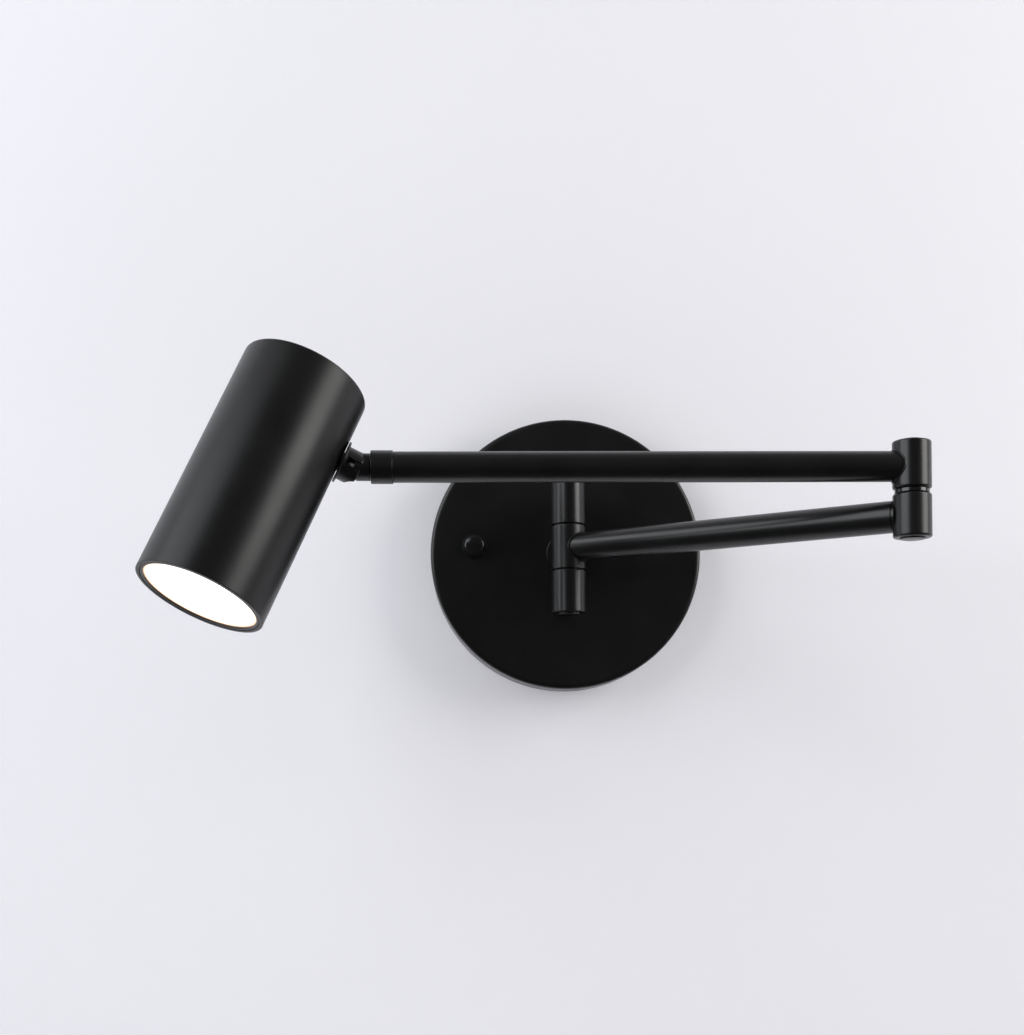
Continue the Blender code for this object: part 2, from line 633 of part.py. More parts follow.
def make_lower_arm(arm, paint, steel, nylon, copper):
    """Knuckle between the fixed hub barrels, tube, and the lower half of the elbow."""
    edge = HUB_GROOVE_Z - HUB_GROOVE_HALF
    knuckle = pipe(BARREL_RADIUS, BORE_RADIUS, -edge, edge, BARREL_CHAMFER)
    knuckle = place(turned("hub_knuckle", knuckle, paint, MEDIUM), arm)
    port = turned("knuckle_port", rod(WIRE_PORT_RADIUS, 0, BARREL_RADIUS * 1.5), None, SMALL)
    place(cutter(port), arm, axis=(1, 0, 0), collection=CUTTERS)
    boolean(knuckle, port)
    bore = LOWER_TUBE_RADIUS - TUBE_WALL
    cut = LOWER_TUBE_RADIUS * 2
    tube = turned("lower_arm_tube", pipe(LOWER_TUBE_RADIUS, bore, 0, LOWER_ARM_LENGTH), paint, MEDIUM)
    place(tube, arm, axis=(1, 0, 0))
    seat = turned("knuckle_seat", rod(BARREL_RADIUS + FINE_GAP, -cut, cut), None, MEDIUM)
    place(cutter(seat), arm, collection=CUTTERS)
    boolean(tube, seat)
    seat = turned("elbow_seat", rod(ELBOW_SPIGOT_REACH, -cut, cut), None, MEDIUM)
    place(cutter(seat), arm, (LOWER_ARM_LENGTH, 0, 0), collection=CUTTERS)
    boolean(tube, seat)
    spot = (LOWER_ARM_LENGTH, 0, 0)
    barrel = pipe(BARREL_RADIUS, BORE_RADIUS, ELBOW_BOTTOM_Z, ELBOW_LOWER_TOP_Z, BARREL_CHAMFER)
    barrel = place(turned("elbow_barrel_lower", barrel, paint, MEDIUM), arm, spot)
    reach = BARREL_RADIUS * 0.75
    neck = [(0, ELBOW_SPIGOT_END), (bore - GAP, ELBOW_SPIGOT_END), (bore - GAP, ELBOW_SPIGOT_SHOULDER)]
    neck += [(ELBOW_SPIGOT_RADIUS, ELBOW_SPIGOT_SHOULDER), (ELBOW_SPIGOT_RADIUS, reach), (0, reach)]
    spigot = turned("elbow_spigot", neck, paint, MEDIUM)
    place(cutter(spigot), arm, spot, (-1, 0, 0), CUTTERS)
    boolean(barrel, spigot, "UNION")
    port = turned("elbow_port", rod(ELBOW_PORT_RADIUS, EXTRA / 2, ELBOW_SPIGOT_END * 1.5), None, SMALL)
    place(cutter(port), arm, spot, (-1, 0, 0), CUTTERS)
    boolean(barrel, port)
    low = ELBOW_BOTTOM_Z + ELBOW_PIVOT_INSET
    high = ELBOW_TOP_Z - ELBOW_PIVOT_INSET
    pivot = pipe(PIVOT_RADIUS, PIVOT_BORE, low, high)
    place(turned("elbow_pivot", pivot, steel, SMALL), arm, spot)
    low = ELBOW_LOWER_TOP_Z + FINE_GAP
    high = ELBOW_UPPER_BOTTOM_Z - FINE_GAP
    ring = pipe(ELBOW_NECK_RADIUS, BORE_RADIUS, low, high, ELBOW_WASHER_CHAMFER)
    place(turned("elbow_washer", ring, nylon, MEDIUM), arm, spot)
    plug = end_plug(-ELBOW_BOTTOM_Z + FINE_GAP, ELBOW_PLUG_RISE)
    place(turned("elbow_plug_bottom", plug, paint, SMALL), arm, spot, (0, 0, -1))
    start = BARREL_RADIUS + EXTRA
    end = LOWER_ARM_LENGTH - ELBOW_SPIGOT_END - EXTRA
    lead = [(start + (end - start) * t / 6, 0.0012 * math.sin(t * 1.7), -0.0012) for t in range(7)]
    place(wire("lower_arm_lead", lead, WIRE_RADIUS, copper), arm)


def make_upper_arm(arm, paint, copper):
    """Upper half of the elbow, tube, and the collar in which the head's stem turns."""
    barrel = pipe(BARREL_RADIUS, BORE_RADIUS, ELBOW_UPPER_BOTTOM_Z, ELBOW_TOP_Z, BARREL_CHAMFER)
    barrel = place(turned("elbow_barrel_upper", barrel, paint, MEDIUM), arm)
    port = turned("upper_port", rod(WIRE_PORT_RADIUS, 0, BARREL_RADIUS * 1.5), None, SMALL)
    place(cutter(port), arm, (0, 0, UPPER_ARM_Z), (1, 0, 0), CUTTERS)
    boolean(barrel, port)
    plug = end_plug(ELBOW_TOP_Z + FINE_GAP, ELBOW_PLUG_RISE)
    place(turned("elbow_plug_top", plug, paint, SMALL), arm)
    collar_far = UPPER_ARM_LENGTH - COLLAR_NEAR - COLLAR_LENGTH
    bore = UPPER_TUBE_RADIUS - TUBE_WALL
    tube = turned("upper_arm_tube", pipe(UPPER_TUBE_RADIUS, bore, 0, collar_far - FINE_GAP), paint, MEDIUM)
    place(tube, arm, (0, 0, UPPER_ARM_Z), (1, 0, 0))
    seat = turned("upper_seat", rod(BARREL_RADIUS + FINE_GAP, 0, ELBOW_TOP_Z * 1.3), None, MEDIUM)
    place(cutter(seat), arm, collection=CUTTERS)
    boolean(tube, seat)
    tip = UPPER_ARM_LENGTH - COLLAR_NEAR
    hole = JOURNAL_RADIUS + GAP
    profile = rod(COLLAR_RADIUS, collar_far, tip, COLLAR_CHAMFER)[1:-1]
    profile += [(bore - FINE_GAP, collar_far), (bore - FINE_GAP, collar_far - COLLAR_SPIGOT_LENGTH)]
    profile += [(hole, collar_far - COLLAR_SPIGOT_LENGTH), (hole, tip)]
    collar = turned("arm_collar", profile, paint, MEDIUM)
    place(collar, arm, (0, 0, UPPER_ARM_Z), (1, 0, 0))
    start = BARREL_RADIUS + EXTRA
    end = collar_far - COLLAR_SPIGOT_LENGTH - 3 * EXTRA
    lead = []
    for t in range(9):
        lead.append((start + (end - start) * t / 8, 0.0011 * math.sin(t * 1.9), UPPER_ARM_Z - 0.0011))
    place(wire("upper_arm_lead", lead, WIRE_RADIUS, copper), arm)


def make_stem(stem, paint, chrome, steel):
    """Stem that turns in the collar, and the polished ball that it carries in the socket."""
    near = -STEM_NEAR
    shoulder = -(COLLAR_NEAR - FINE_GAP)
    tail = -(COLLAR_NEAR + COLLAR_LENGTH + COLLAR_SPIGOT_LENGTH + STEM_TAIL)
    pocket = BALL_RADIUS + STEM_POCKET_GAP
    seat = BALL_NECK_RADIUS + FINE_GAP
    profile = [(pocket, near), (STEM_RADIUS, near), (STEM_RADIUS, shoulder)]
    profile += [(JOURNAL_RADIUS, shoulder), (JOURNAL_RADIUS, tail), (WIRE_BORE, tail)]
    profile += [(WIRE_BORE, -STEM_SEAT_END), (seat, -STEM_SEAT_END)]
    profile += [(seat, -STEM_SEAT_START), (pocket, -STEM_POCKET_DEPTH)]
    place(turned("head_stem", profile, paint, SMALL), stem, axis=(1, 0, 0))
    start = math.degrees(math.asin(BALL_BORE / BALL_RADIUS))
    neck = math.degrees(math.asin(BALL_NECK_RADIUS / BALL_RADIUS))
    ball = []
    for index in range(9):
        angle = math.radians(start + (180 - start - neck) * index / 8)
        ball.append((BALL_RADIUS * math.sin(angle), BALL_RADIUS * math.cos(angle)))
    ball += [(BALL_NECK_RADIUS, -BALL_NECK_END), (BALL_BORE, -BALL_NECK_END)]
    ball = place(turned("joint_ball", ball, chrome, SMALL), stem, axis=(1, 0, 0))
    for side, sign in (("front", 1), ("rear", -1)):
        hole = rod(PIVOT_SCREW_RADIUS + FINE_GAP, PIVOT_SCREW_TIP - SCREW_TIP_ROOM, SOCKET_RADIUS)
        hole = turned(f"ball_hole_{side}", hole, None, COARSE)
        place(cutter(hole), stem, axis=(0, sign, 0), collection=CUTTERS)
        boolean(ball, hole)
    low = tail + CLIP_INSET
    clip = pipe(JOURNAL_RADIUS + CLIP_HEIGHT, JOURNAL_RADIUS + FINE_GAP, low, low + CLIP_THICKNESS)
    place(turned("stem_clip", clip, steel, SMALL), stem, axis=(1, 0, 0))


def make_socket(socket, paint, steel):
    """Cup that holds the ball, slotted at the front, with a flange and a spigot into the head."""
    flange = -(HEAD_OFFSET - HEAD_RADIUS - FINE_GAP)
    back = flange + SOCKET_FLANGE_THICKNESS
    crown = SOCKET_RIM + SOCKET_CROWN
    low = -SOCKET_SPIGOT_END
    profile = [(0, crown)]
    profile += arc(SOCKET_RADIUS - SOCKET_ROUND, crown - SOCKET_ROUND, SOCKET_ROUND, 90, 0, 3)
    profile += [(SOCKET_RADIUS, back + SOCKET_FILLET), (SOCKET_RADIUS + SOCKET_FILLET, back)]
    profile += [(SOCKET_FLANGE_RADIUS, back - SOCKET_FLANGE_THICKNESS * 0.2)]
    profile += [(SOCKET_FLANGE_RADIUS, flange + SOCKET_FLANGE_THICKNESS * 0.2)]
    profile += [(SOCKET_FLANGE_RADIUS - SOCKET_FILLET, flange), (SOCKET_SPIGOT_RADIUS, flange)]
    profile += [(SOCKET_SPIGOT_RADIUS, low), (0, low)]
    cup = place(turned("joint_socket", profile, paint, MEDIUM), socket, axis=(-1, 0, 0))
    pocket = turned("ball_pocket", sphere_profile(BALL_RADIUS + GAP), None, SMALL)
    place(cutter(pocket), socket, axis=(-1, 0, 0), collection=CUTTERS)
    boolean(cup, pocket)
    bore = turned("socket_bore", rod(SOCKET_BORE, low - EXTRA, 0), None, COARSE)
    place(cutter(bore), socket, axis=(-1, 0, 0), collection=CUTTERS)
    boolean(cup, bore)
    for index, tilt in enumerate(TILT_LIMITS):
        room = rod(STEM_RADIUS + STEM_ROOM, STEM_NEAR - STEM_ROOM, SOCKET_RADIUS * 3)
        sweep = turned(f"stem_sweep_{index}", room, None, MEDIUM)
        axis = (-math.cos(tilt), 0, math.sin(tilt))
        place(cutter(sweep), socket, axis=axis, collection=CUTTERS)
        boolean(cup, sweep)
    half = SOCKET_SLOT_WIDTH / 2
    low_corner = (-SOCKET_RADIUS * 3, -half, SOCKET_SLOT_BOTTOM)
    slot = box("socket_slot", low_corner, (SOCKET_SLOT_END, half, SOCKET_RADIUS * 1.7))
    turn = Matrix.Rotation(-math.pi / 2 + SOCKET_SLOT_ANGLE, 4, "X")
    place(cutter(slot), socket, collection=CUTTERS).matrix_basis = turn
    boolean(cup, slot)
    for side, sign in (("front", 1), ("rear", -1)):
        hole = rod(PIVOT_SCREW_RADIUS + FINE_GAP, SOCKET_RADIUS * 0.57, SOCKET_RADIUS * 1.7)
        hole = turned(f"socket_hole_{side}", hole, None, COARSE)
        place(cutter(hole), socket, axis=(0, sign, 0), collection=CUTTERS)
        boolean(cup, hole)
        screw = rod(PIVOT_SCREW_RADIUS, PIVOT_SCREW_TIP, SOCKET_RADIUS - PIVOT_SCREW_INSET)
        place(turned(f"pivot_screw_{side}", screw, steel, COARSE), socket, axis=(0, sign, 0))
    curved_wall = HEAD_OFFSET - math.sqrt((HEAD_RADIUS - HEAD_WALL) ** 2 - SOCKET_WASHER_RADIUS**2)
    seat = curved_wall + FINE_GAP
    bore = SOCKET_SPIGOT_RADIUS + FINE_GAP
    washer = pipe(SOCKET_WASHER_RADIUS, bore, seat, seat + SOCKET_WASHER_THICKNESS)
    place(turned("socket_washer", washer, steel, SMALL), socket, axis=(1, 0, 0))
    low = seat + SOCKET_WASHER_THICKNESS + FINE_GAP
    end = SOCKET_SPIGOT_END - SOCKET_NUT_INSET
    hex_nut("socket_nut", socket, (1, 0, 0), SOCKET_NUT_RADIUS, bore, low, end, steel)


def sphere_profile(radius):
    return [(max(r, 0.0), z) for r, z in arc(0, 0, radius, 90, -90, 12)]


def make_head(head, paint, frosted, white, board, glow, aluminium, steel, copper):
    """Tubular shade with the diffuser in its mouth and the LED, reflector and heat sink inside."""
    spot = (HEAD_OFFSET, 0, 0)
    mouth = -HEAD_BELOW
    inner = HEAD_RADIUS - HEAD_WALL
    profile = [(0, HEAD_ABOVE)]
    profile += arc(HEAD_RADIUS - HEAD_EDGE_RADIUS, HEAD_ABOVE - HEAD_EDGE_RADIUS, HEAD_EDGE_RADIUS, 90, 0, 3)
    profile += [(HEAD_RADIUS, mouth + HEAD_LIP_CHAMFER), (HEAD_RADIUS - HEAD_LIP_CHAMFER, mouth)]
    profile += [(inner, mouth)]
    profile += [(inner, HEAD_ABOVE - HEAD_WALL), (0, HEAD_ABOVE - HEAD_WALL)]
    shell = place(turned("head_shell", profile, paint, LARGE), head, spot)
    hole = turned("shell_hole", rod(SOCKET_SPIGOT_RADIUS + GAP, 0, SOCKET_SPIGOT_END), None, SMALL)
    place(cutter(hole), head, axis=(1, 0, 0), collection=CUTTERS)
    boolean(shell, hole)
    front = mouth + RING_SETBACK
    fit = inner - FINE_GAP
    ring = pipe(fit, RING_INNER_RADIUS, front, front + RING_THICKNESS)
    place(turned("retaining_ring", ring, paint, LARGE), head, spot)
    low = front + RING_THICKNESS + FINE_GAP
    high = low + DIFFUSER_THICKNESS
    snug = fit - FINE_GAP / 2
    place(turned("diffuser", rod(snug, low, high), frosted, LARGE), head, spot)
    base = high + FINE_GAP
    throat = base + REFLECTOR_LENGTH
    brim = base + REFLECTOR_FLANGE
    cone = [(REFLECTOR_THROAT + REFLECTOR_WALL, throat), (fit - REFLECTOR_SLOPE, brim)]
    cone += [(snug, brim), (snug, base), (fit - REFLECTOR_SLOPE - REFLECTOR_WALL / 4, base)]
    cone += [(REFLECTOR_THROAT, throat)]
    place(turned("reflector", cone, white, MEDIUM), head, spot)
    low = throat + FINE_GAP
    plate = turned("led_board", rod(BOARD_RADIUS, low, low + BOARD_THICKNESS), board, MEDIUM)
    place(plate, head, spot)
    emitter = rod(EMITTER_RADIUS, low - EMITTER_HEIGHT, low - FINE_GAP)
    place(turned("led_emitter", emitter, glow, SMALL), head, spot)
    seat = low + BOARD_THICKNESS + FINE_GAP
    sink = place(turned("heat_sink", finned_profile(seat), aluminium, SMALL), head, spot)
    tip = seat + BOARD_SCREW_DEPTH
    under = low - FINE_GAP
    drill = rod(BOARD_SCREW_HOLE, low - EXTRA, tip + GAP * 2)
    for index, y in enumerate((BOARD_SCREW_CIRCLE, -BOARD_SCREW_CIRCLE)):
        hole = turned(f"board_hole_{index}", drill, None, COARSE)
        place(cutter(hole), head, (HEAD_OFFSET, y, 0), collection=CUTTERS)
        boolean(plate, hole)
        boolean(sink, hole)
        screw = [(0, tip), (BOARD_SCREW_SHANK, tip), (BOARD_SCREW_SHANK, under)]
        screw += [(BOARD_SCREW_HEAD, under), (BOARD_SCREW_HEAD, low - EMITTER_HEIGHT)]
        screw += [(0, low - EMITTER_HEIGHT)]
        place(turned(f"board_screw_{index + 1}", screw, steel, COARSE), head, (HEAD_OFFSET, y, 0))
    side = HEAD_OFFSET - HEAD_WIRE_PLACE
    corners = [(SOCKET_SPIGOT_END + 0.0005, 0, 0), (SOCKET_SPIGOT_END + 0.0030, 0, -0.0010)]
    corners += [(SOCKET_SPIGOT_END + 0.0020, 0, -0.0100), (side, 0, -0.0160), (side, 0, -0.0300)]
    corners += [(side, 0, seat - 0.0010), (side + 0.0020, 0, low + 0.0006)]
    corners += [(HEAD_OFFSET - BOARD_RADIUS - 0.0004, 0, low + 0.0005)]
    place(wire("head_lead", smooth_route(corners, 4), HEAD_WIRE_RADIUS, copper), head)


def finned_profile(seat):
    """Heat sink profile: a round base on the board, a core and evenly spaced round fins."""
    pitch = SINK_FIN_PITCH
    top = seat + SINK_BASE + SINK_FINS * pitch
    profile = [(0, top)]
    for index in range(SINK_FINS):
        high = top - index * pitch
        profile += [(SINK_RADIUS, high), (SINK_RADIUS, high - SINK_FIN_THICKNESS)]
        profile += [(SINK_CORE_RADIUS, high - SINK_FIN_THICKNESS), (SINK_CORE_RADIUS, high - pitch)]
    profile += [(SINK_RADIUS, seat + SINK_BASE), (SINK_RADIUS, seat), (0, seat)]
    return profile


# ---------------------------------------------------------------- assembly


def main():
    clear_scene()
    new_collection(PARTS)
    new_collection(CUTTERS)

    paint = principled("black_paint", (0.012, 0.012, 0.013), 0.42)
    plastic = principled("black_plastic", (0.010, 0.010, 0.010), 0.22)
    casing = principled("driver_casing", (0.75, 0.75, 0.73), 0.50)
    nylon = principled("black_nylon", (0.020, 0.020, 0.020), 0.35)
    steel = principled("steel", (0.56, 0.56, 0.57), 0.35, 1.0)
    zinc = principled("zinc_plated_strap", (0.62, 0.63, 0.66), 0.40, 1.0)
    brass = principled("brass_screw", (0.75, 0.56, 0.28), 0.35, 1.0)
    chrome = principled("polished_ball", (0.60, 0.60, 0.61), 0.08, 1.0)
    aluminium = principled("aluminium_sink", (0.78, 0.79, 0.80), 0.35, 1.0)
    white = principled("white_reflector", (0.90, 0.90, 0.88), 0.40)
    board = principled("led_substrate", (0.85, 0.85, 0.80), 0.45)
    glow = principled("led_phosphor", (1.0, 0.80, 0.35), 0.50, 0.0, 2.0)
    frosted = principled("frosted_diffuser", (1.0, 0.95, 0.86), 0.50, 0.0, 1.5)
    lead = principled("lead_insulation", (0.03, 0.03, 0.03), 0.50)

    base = frame("wall_frame")
    button = frame("button_axis", base, Matrix.Translation((BUTTON_X, 0, BUTTON_Z)))
    swing = Matrix.Translation((0, -HUB_REACH, 0)) @ Matrix.Rotation(-SHOULDER_ANGLE, 4, "Z")
    lower = frame("shoulder_axis", base, swing)
    fold = Matrix.Rotation(math.pi + ELBOW_FOLD, 4, "Z")
    upper = frame("elbow_axis", lower, Matrix.Translation((LOWER_ARM_LENGTH, 0, 0)) @ fold)
    roll = Matrix.Rotation(-STEM_ROLL, 4, "X")
    stem = frame("roll_axis", upper, Matrix.Translation((UPPER_ARM_LENGTH, 0, UPPER_ARM_Z)) @ roll)
    socket = frame("tilt_axis", stem, Matrix.Rotation(-HEAD_TILT, 4, "Y"))
    head = frame("spin_axis", socket, Matrix.Rotation(HEAD_SPIN, 4, "X"))

    make_canopy(base, paint)
    make_strap(base, zinc, brass)
    make_side_screws(base, steel)
    make_switch(base, button, paint, plastic, steel)
    make_canopy_electrics(base, casing, board, lead)
    make_boss(base, paint, steel)
    make_yoke(base, paint)
    make_hub(base, paint, steel, nylon)
    make_lower_arm(lower, paint, steel, nylon, lead)
    make_upper_arm(upper, paint, lead)
    make_stem(stem, paint, chrome, steel)
    make_socket(socket, paint, steel)
    make_head(head, paint, frosted, white, board, glow, aluminium, steel, lead)

    bpy.context.view_layer.update()
    solids = [obj for obj in bpy.data.collections[PARTS].objects if obj.type == "MESH"]
    meshes = [shade(obj) for obj in solids]
    for obj, mesh in zip(solids, meshes):
        obj.modifiers.clear()
        obj.data = mesh


main()
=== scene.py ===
"""Looks of the wall-mounted swing-arm reading lamp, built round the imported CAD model.

Every visible turned piece is remade at a fine resolution with rounded edges. Its size and place are
read from the CAD node that it stands for. Units are metres, in the CAD model's own frame.
"""

import json
import math

import bmesh
import bpy
from mathutils import Matrix, Vector


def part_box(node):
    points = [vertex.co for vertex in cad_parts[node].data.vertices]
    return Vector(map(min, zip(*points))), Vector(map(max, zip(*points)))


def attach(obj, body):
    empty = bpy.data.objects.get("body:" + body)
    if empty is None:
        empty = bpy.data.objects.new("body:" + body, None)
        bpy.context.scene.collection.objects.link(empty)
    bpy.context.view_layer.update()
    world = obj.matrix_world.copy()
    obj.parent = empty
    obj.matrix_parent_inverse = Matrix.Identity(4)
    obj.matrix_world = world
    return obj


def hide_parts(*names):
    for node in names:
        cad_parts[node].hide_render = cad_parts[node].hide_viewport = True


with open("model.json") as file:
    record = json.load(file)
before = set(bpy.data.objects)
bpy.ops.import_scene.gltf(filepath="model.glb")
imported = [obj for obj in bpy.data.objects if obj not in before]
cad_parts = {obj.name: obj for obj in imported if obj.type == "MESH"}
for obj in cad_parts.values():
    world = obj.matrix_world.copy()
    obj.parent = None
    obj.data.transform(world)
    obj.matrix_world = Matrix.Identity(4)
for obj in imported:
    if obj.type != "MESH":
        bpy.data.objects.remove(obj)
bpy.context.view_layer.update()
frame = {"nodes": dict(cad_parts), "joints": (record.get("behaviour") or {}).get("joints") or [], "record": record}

# Point that the lights are aimed at
LIGHT_TARGET = Vector((-0.02, -0.09, 0.02))

# Directions
TO_ROOM = Vector((0, -1, 0))
UP = Vector((0, 0, 1))

# Segments round a turned piece
FINEST = 192
FINE = 128
ROUND = 96
SMALL = 48

# Rounding of machined edges
SOFT_EDGE = 0.0010
EDGE = 0.0004
FINE_EDGE = 0.0002
LIP_EDGE = 0.0003
SUPPORT = 0.00015
SHARP_ANGLE = math.radians(35.0)

# Weld bead where a tube meets its barrel
BEAD_RADIUS = 0.00042

# Sizes inside the lamp that the CAD nodes' outer shapes don't give
PIVOT_BORE = 0.0043
CANOPY_WALL = 0.0012
CANOPY_EDGE = 0.0022
BUTTON_HOLE = 0.0053
SIDE_SCREW_HOLE = 0.0021
STUD = 0.0050
STUD_BORE = 0.0032
THREAD_PITCH = 0.0008
THREAD_DEPTH = 0.0004
YOKE_EDGE = 0.0012
YOKE_SWING = 0.01105
PLUG_SHANK = 0.0023
PLUG_SHANK_LENGTH = 0.0055
PLUG_CROWN = 0.00028
BUTTON_BODY = 0.0041
BUTTON_LIP = 0.00315
BUTTON_SKIRT = 0.0009
BUTTON_STEM = 0.0012
BEZEL_BORE = 0.0044
BEZEL_SEAT = 0.00515
KEY_RADIUS = 0.0010
KEY_DEPTH = 0.0014
TUBE_WALL = 0.0010
ELBOW_NECK = 0.0061
ELBOW_LINER = 0.00525
COLLAR_LENGTH = 0.00885
COLLAR_SPIGOT = 0.00505
BALL_POCKET = 0.0045
STEM_POCKET = 0.0044
STEM_SHOULDER = 0.0072
STEM_JOURNAL = 0.0032
BALL_NECK = 0.0021
BALL_NECK_END = 0.0064
SOCKET_RADIUS = 0.00695
SOCKET_BORE = 0.0013
SPIGOT = 0.0040
FLANGE_THICKNESS = 0.0009
SEAT_GAP = 0.0002
STEM_ROOM = 0.00035
TILT_ROOM = math.radians(38.0)
HEAD_WALL = 0.0015
FAR = 0.05

# Where the socket's slot is cut, turned about the socket's own axis
SLOT_TURN = math.radians(-65.0)
SLOT_HALF_WIDTH = 0.00155

# Camera, at the viewing angle of the reference picture
CAMERA_PLACE = (-0.0471, -0.7363, -0.1043)
CAMERA_YAW = math.radians(1.69)
CAMERA_PITCH = math.radians(0.74)
CAMERA_ROLL = math.radians(-0.42)
CAMERA_LENS_PER_WIDTH = 1.4926
CAMERA_SHIFT_UP = 0.2336
SENSOR_WIDTH = 36.0


# ---------------------------------------------------------------- places read from the CAD model


def joint(name):
    return next(item for item in frame["joints"] if item["name"] == name)


def middle(node):
    low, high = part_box(node)
    return (low + high) / 2


def span(node, origin, axis):
    """Where a CAD node starts and ends along an axis, and its largest distance from that axis."""
    reach = []
    away = []
    for vertex in frame["nodes"][node].data.vertices:
        offset = vertex.co - origin
        along = offset.dot(axis)
        reach.append(along)
        away.append((offset - axis * along).length)
    return min(reach), max(reach), max(away)


SHOULDER = Vector(joint("shoulder_swing")["pos_m"])
ELBOW = Vector(joint("elbow_swing")["pos_m"])
HEAD_JOINT = Vector(joint("head_tilt")["pos_m"])
ELBOW_TOP = Vector((ELBOW.x, ELBOW.y, HEAD_JOINT.z))
LOWER_DIRECTION = (ELBOW - SHOULDER).normalized()
UPPER_DIRECTION = (HEAD_JOINT - ELBOW_TOP).normalized()
TILT_AXIS = Vector(joint("head_tilt")["axis"]).normalized()
SOCKET_DIRECTION = Vector(joint("head_spin")["axis"]).normalized()
HEAD_UP = (middle("led_emitter") - middle("diffuser")).normalized()
HEAD_FOOT = middle("diffuser") + HEAD_UP * (HEAD_JOINT - middle("diffuser")).dot(HEAD_UP)
RING_BORE = 0.0233
BUTTON = middle("push_button")
BUTTON_AXIS_FOOT = Vector((BUTTON.x, 0, BUTTON.z))


# ---------------------------------------------------------------- materials


class Nodes:
    """Short calls for building one material's node tree."""

    def __init__(self, name):
        self.material = bpy.data.materials.new(name)
        self.material.use_nodes = True
        self.tree = self.material.node_tree
        self.shader = self.tree.nodes["Principled BSDF"]
        self.place = self.tree.nodes.new("ShaderNodeTexCoord").outputs["Object"]

    def set(self, **values):
        for name, value in values.items():
            self.shader.inputs[name.replace("_", " ")].default_value = value

    def link(self, source, target):
        self.tree.links.new(source, target)

    def noise(self, scale, detail=2.0, roughness=0.5, stretch=None):
        node = self.tree.nodes.new("ShaderNodeTexNoise")
        node.inputs["Scale"].default_value = scale
        node.inputs["Detail"].default_value = detail
        node.inputs["Roughness"].default_value = roughness
        source = self.place
        if stretch:
            mapping = self.tree.nodes.new("ShaderNodeMapping")
            mapping.inputs["Scale"].default_value = stretch
            self.link(self.place, mapping.inputs["Vector"])
            source = mapping.outputs["Vector"]
        self.link(source, node.inputs["Vector"])
        return node.outputs["Fac"]

    def ramp(self, source, *stops):
        """Maps a 0 to 1 value through (position, colour) stops."""
        node = self.tree.nodes.new("ShaderNodeValToRGB")
        elements = node.color_ramp.elements
        while len(elements) < len(stops):
            elements.new(0.5)
        for element, (position, color) in zip(elements, stops):
            element.position = position
            element.color = (*color, 1.0)
        self.link(source, node.inputs["Fac"])
        return node.outputs["Color"]

    def spread(self, source, low, high):
        node = self.tree.nodes.new("ShaderNodeMapRange")
        node.inputs["From Min"].default_value = 0.3
        node.inputs["From Max"].default_value = 0.7
        node.inputs["To Min"].default_value = low
        node.inputs["To Max"].default_value = high
        self.link(source, node.inputs["Value"])
        return node.outputs["Result"]

    def bump(self, *layers):
        """Stacks (height, distance) layers of relief and joins them to the shader."""
        normal = None
        for source, distance in layers:
            node = self.tree.nodes.new("ShaderNodeBump")
            node.inputs["Strength"].default_value = 1.0
            node.inputs["Distance"].default_value = distance
            self.link(source, node.inputs["Height"])
            if normal:
                self.link(normal, node.inputs["Normal"])
            normal = node.outputs["Normal"]
        self.link(normal, self.shader.inputs["Normal"])


def shade_between(nodes, source, dark, light):
    nodes.link(nodes.ramp(source, (0.35, dark), (0.65, light)), nodes.shader.inputs["Base Color"])


def powder_coat(name, roughness=0.30, density=1.5):
    """Satin black powder coat: fine grain over a faint orange peel."""
    nodes = Nodes(name)
    peel = nodes.noise(520.0, 2.0)
    grain = nodes.noise(5200.0, 3.0, 0.6)
    cloud = nodes.noise(45.0, 3.0)
    shade_between(nodes, cloud, (0.0042, 0.0042, 0.0045), (0.0062, 0.0062, 0.0064))
    nodes.link(nodes.spread(cloud, roughness - 0.025, roughness + 0.025), nodes.shader.inputs["Roughness"])
    nodes.bump((peel, 0.000006), (grain, 0.0000022))
    nodes.set(IOR=density)
    return nodes.material


def gloss_black(name, roughness, relief, density=1.5):
    """Moulded or polished black, with a slight unevenness from the mould."""
    nodes = Nodes(name)
    flow = nodes.noise(260.0, 2.0)
    speck = nodes.noise(3000.0, 2.0)
    shade_between(nodes, flow, (0.0045, 0.0045, 0.005), (0.008, 0.008, 0.0085))
    nodes.link(nodes.spread(speck, roughness * 0.8, roughness * 1.25), nodes.shader.inputs["Roughness"])
    nodes.bump((flow, relief), (speck, relief * 0.3))
    nodes.set(IOR=density)
    return nodes.material


def metal(name, dark, light, roughness, grain=900.0, stretch=None, relief=0.000004):
    """Bare or plated metal with tool marks or a crystalline plating."""
    nodes = Nodes(name)
    marks = nodes.noise(grain, 4.0, 0.65, stretch)
    stain = nodes.noise(60.0, 3.0)
    shade_between(nodes, stain, dark, light)
    nodes.link(nodes.spread(marks, roughness * 0.7, roughness * 1.35), nodes.shader.inputs["Roughness"])
    nodes.bump((marks, relief))
    nodes.set(Metallic=1.0)
    return nodes.material


def moulded(name, dark, light, roughness, grain=2600.0, relief=0.00001):
    """Moulded plastic with a fine spark-eroded texture."""
    nodes = Nodes(name)
    texture = nodes.noise(grain, 3.0, 0.6)
    cloud = nodes.noise(40.0, 2.0)
    shade_between(nodes, cloud, dark, light)
    nodes.link(nodes.spread(texture, roughness - 0.06, roughness + 0.08), nodes.shader.inputs["Roughness"])
    nodes.bump((texture, relief))
    return nodes.material


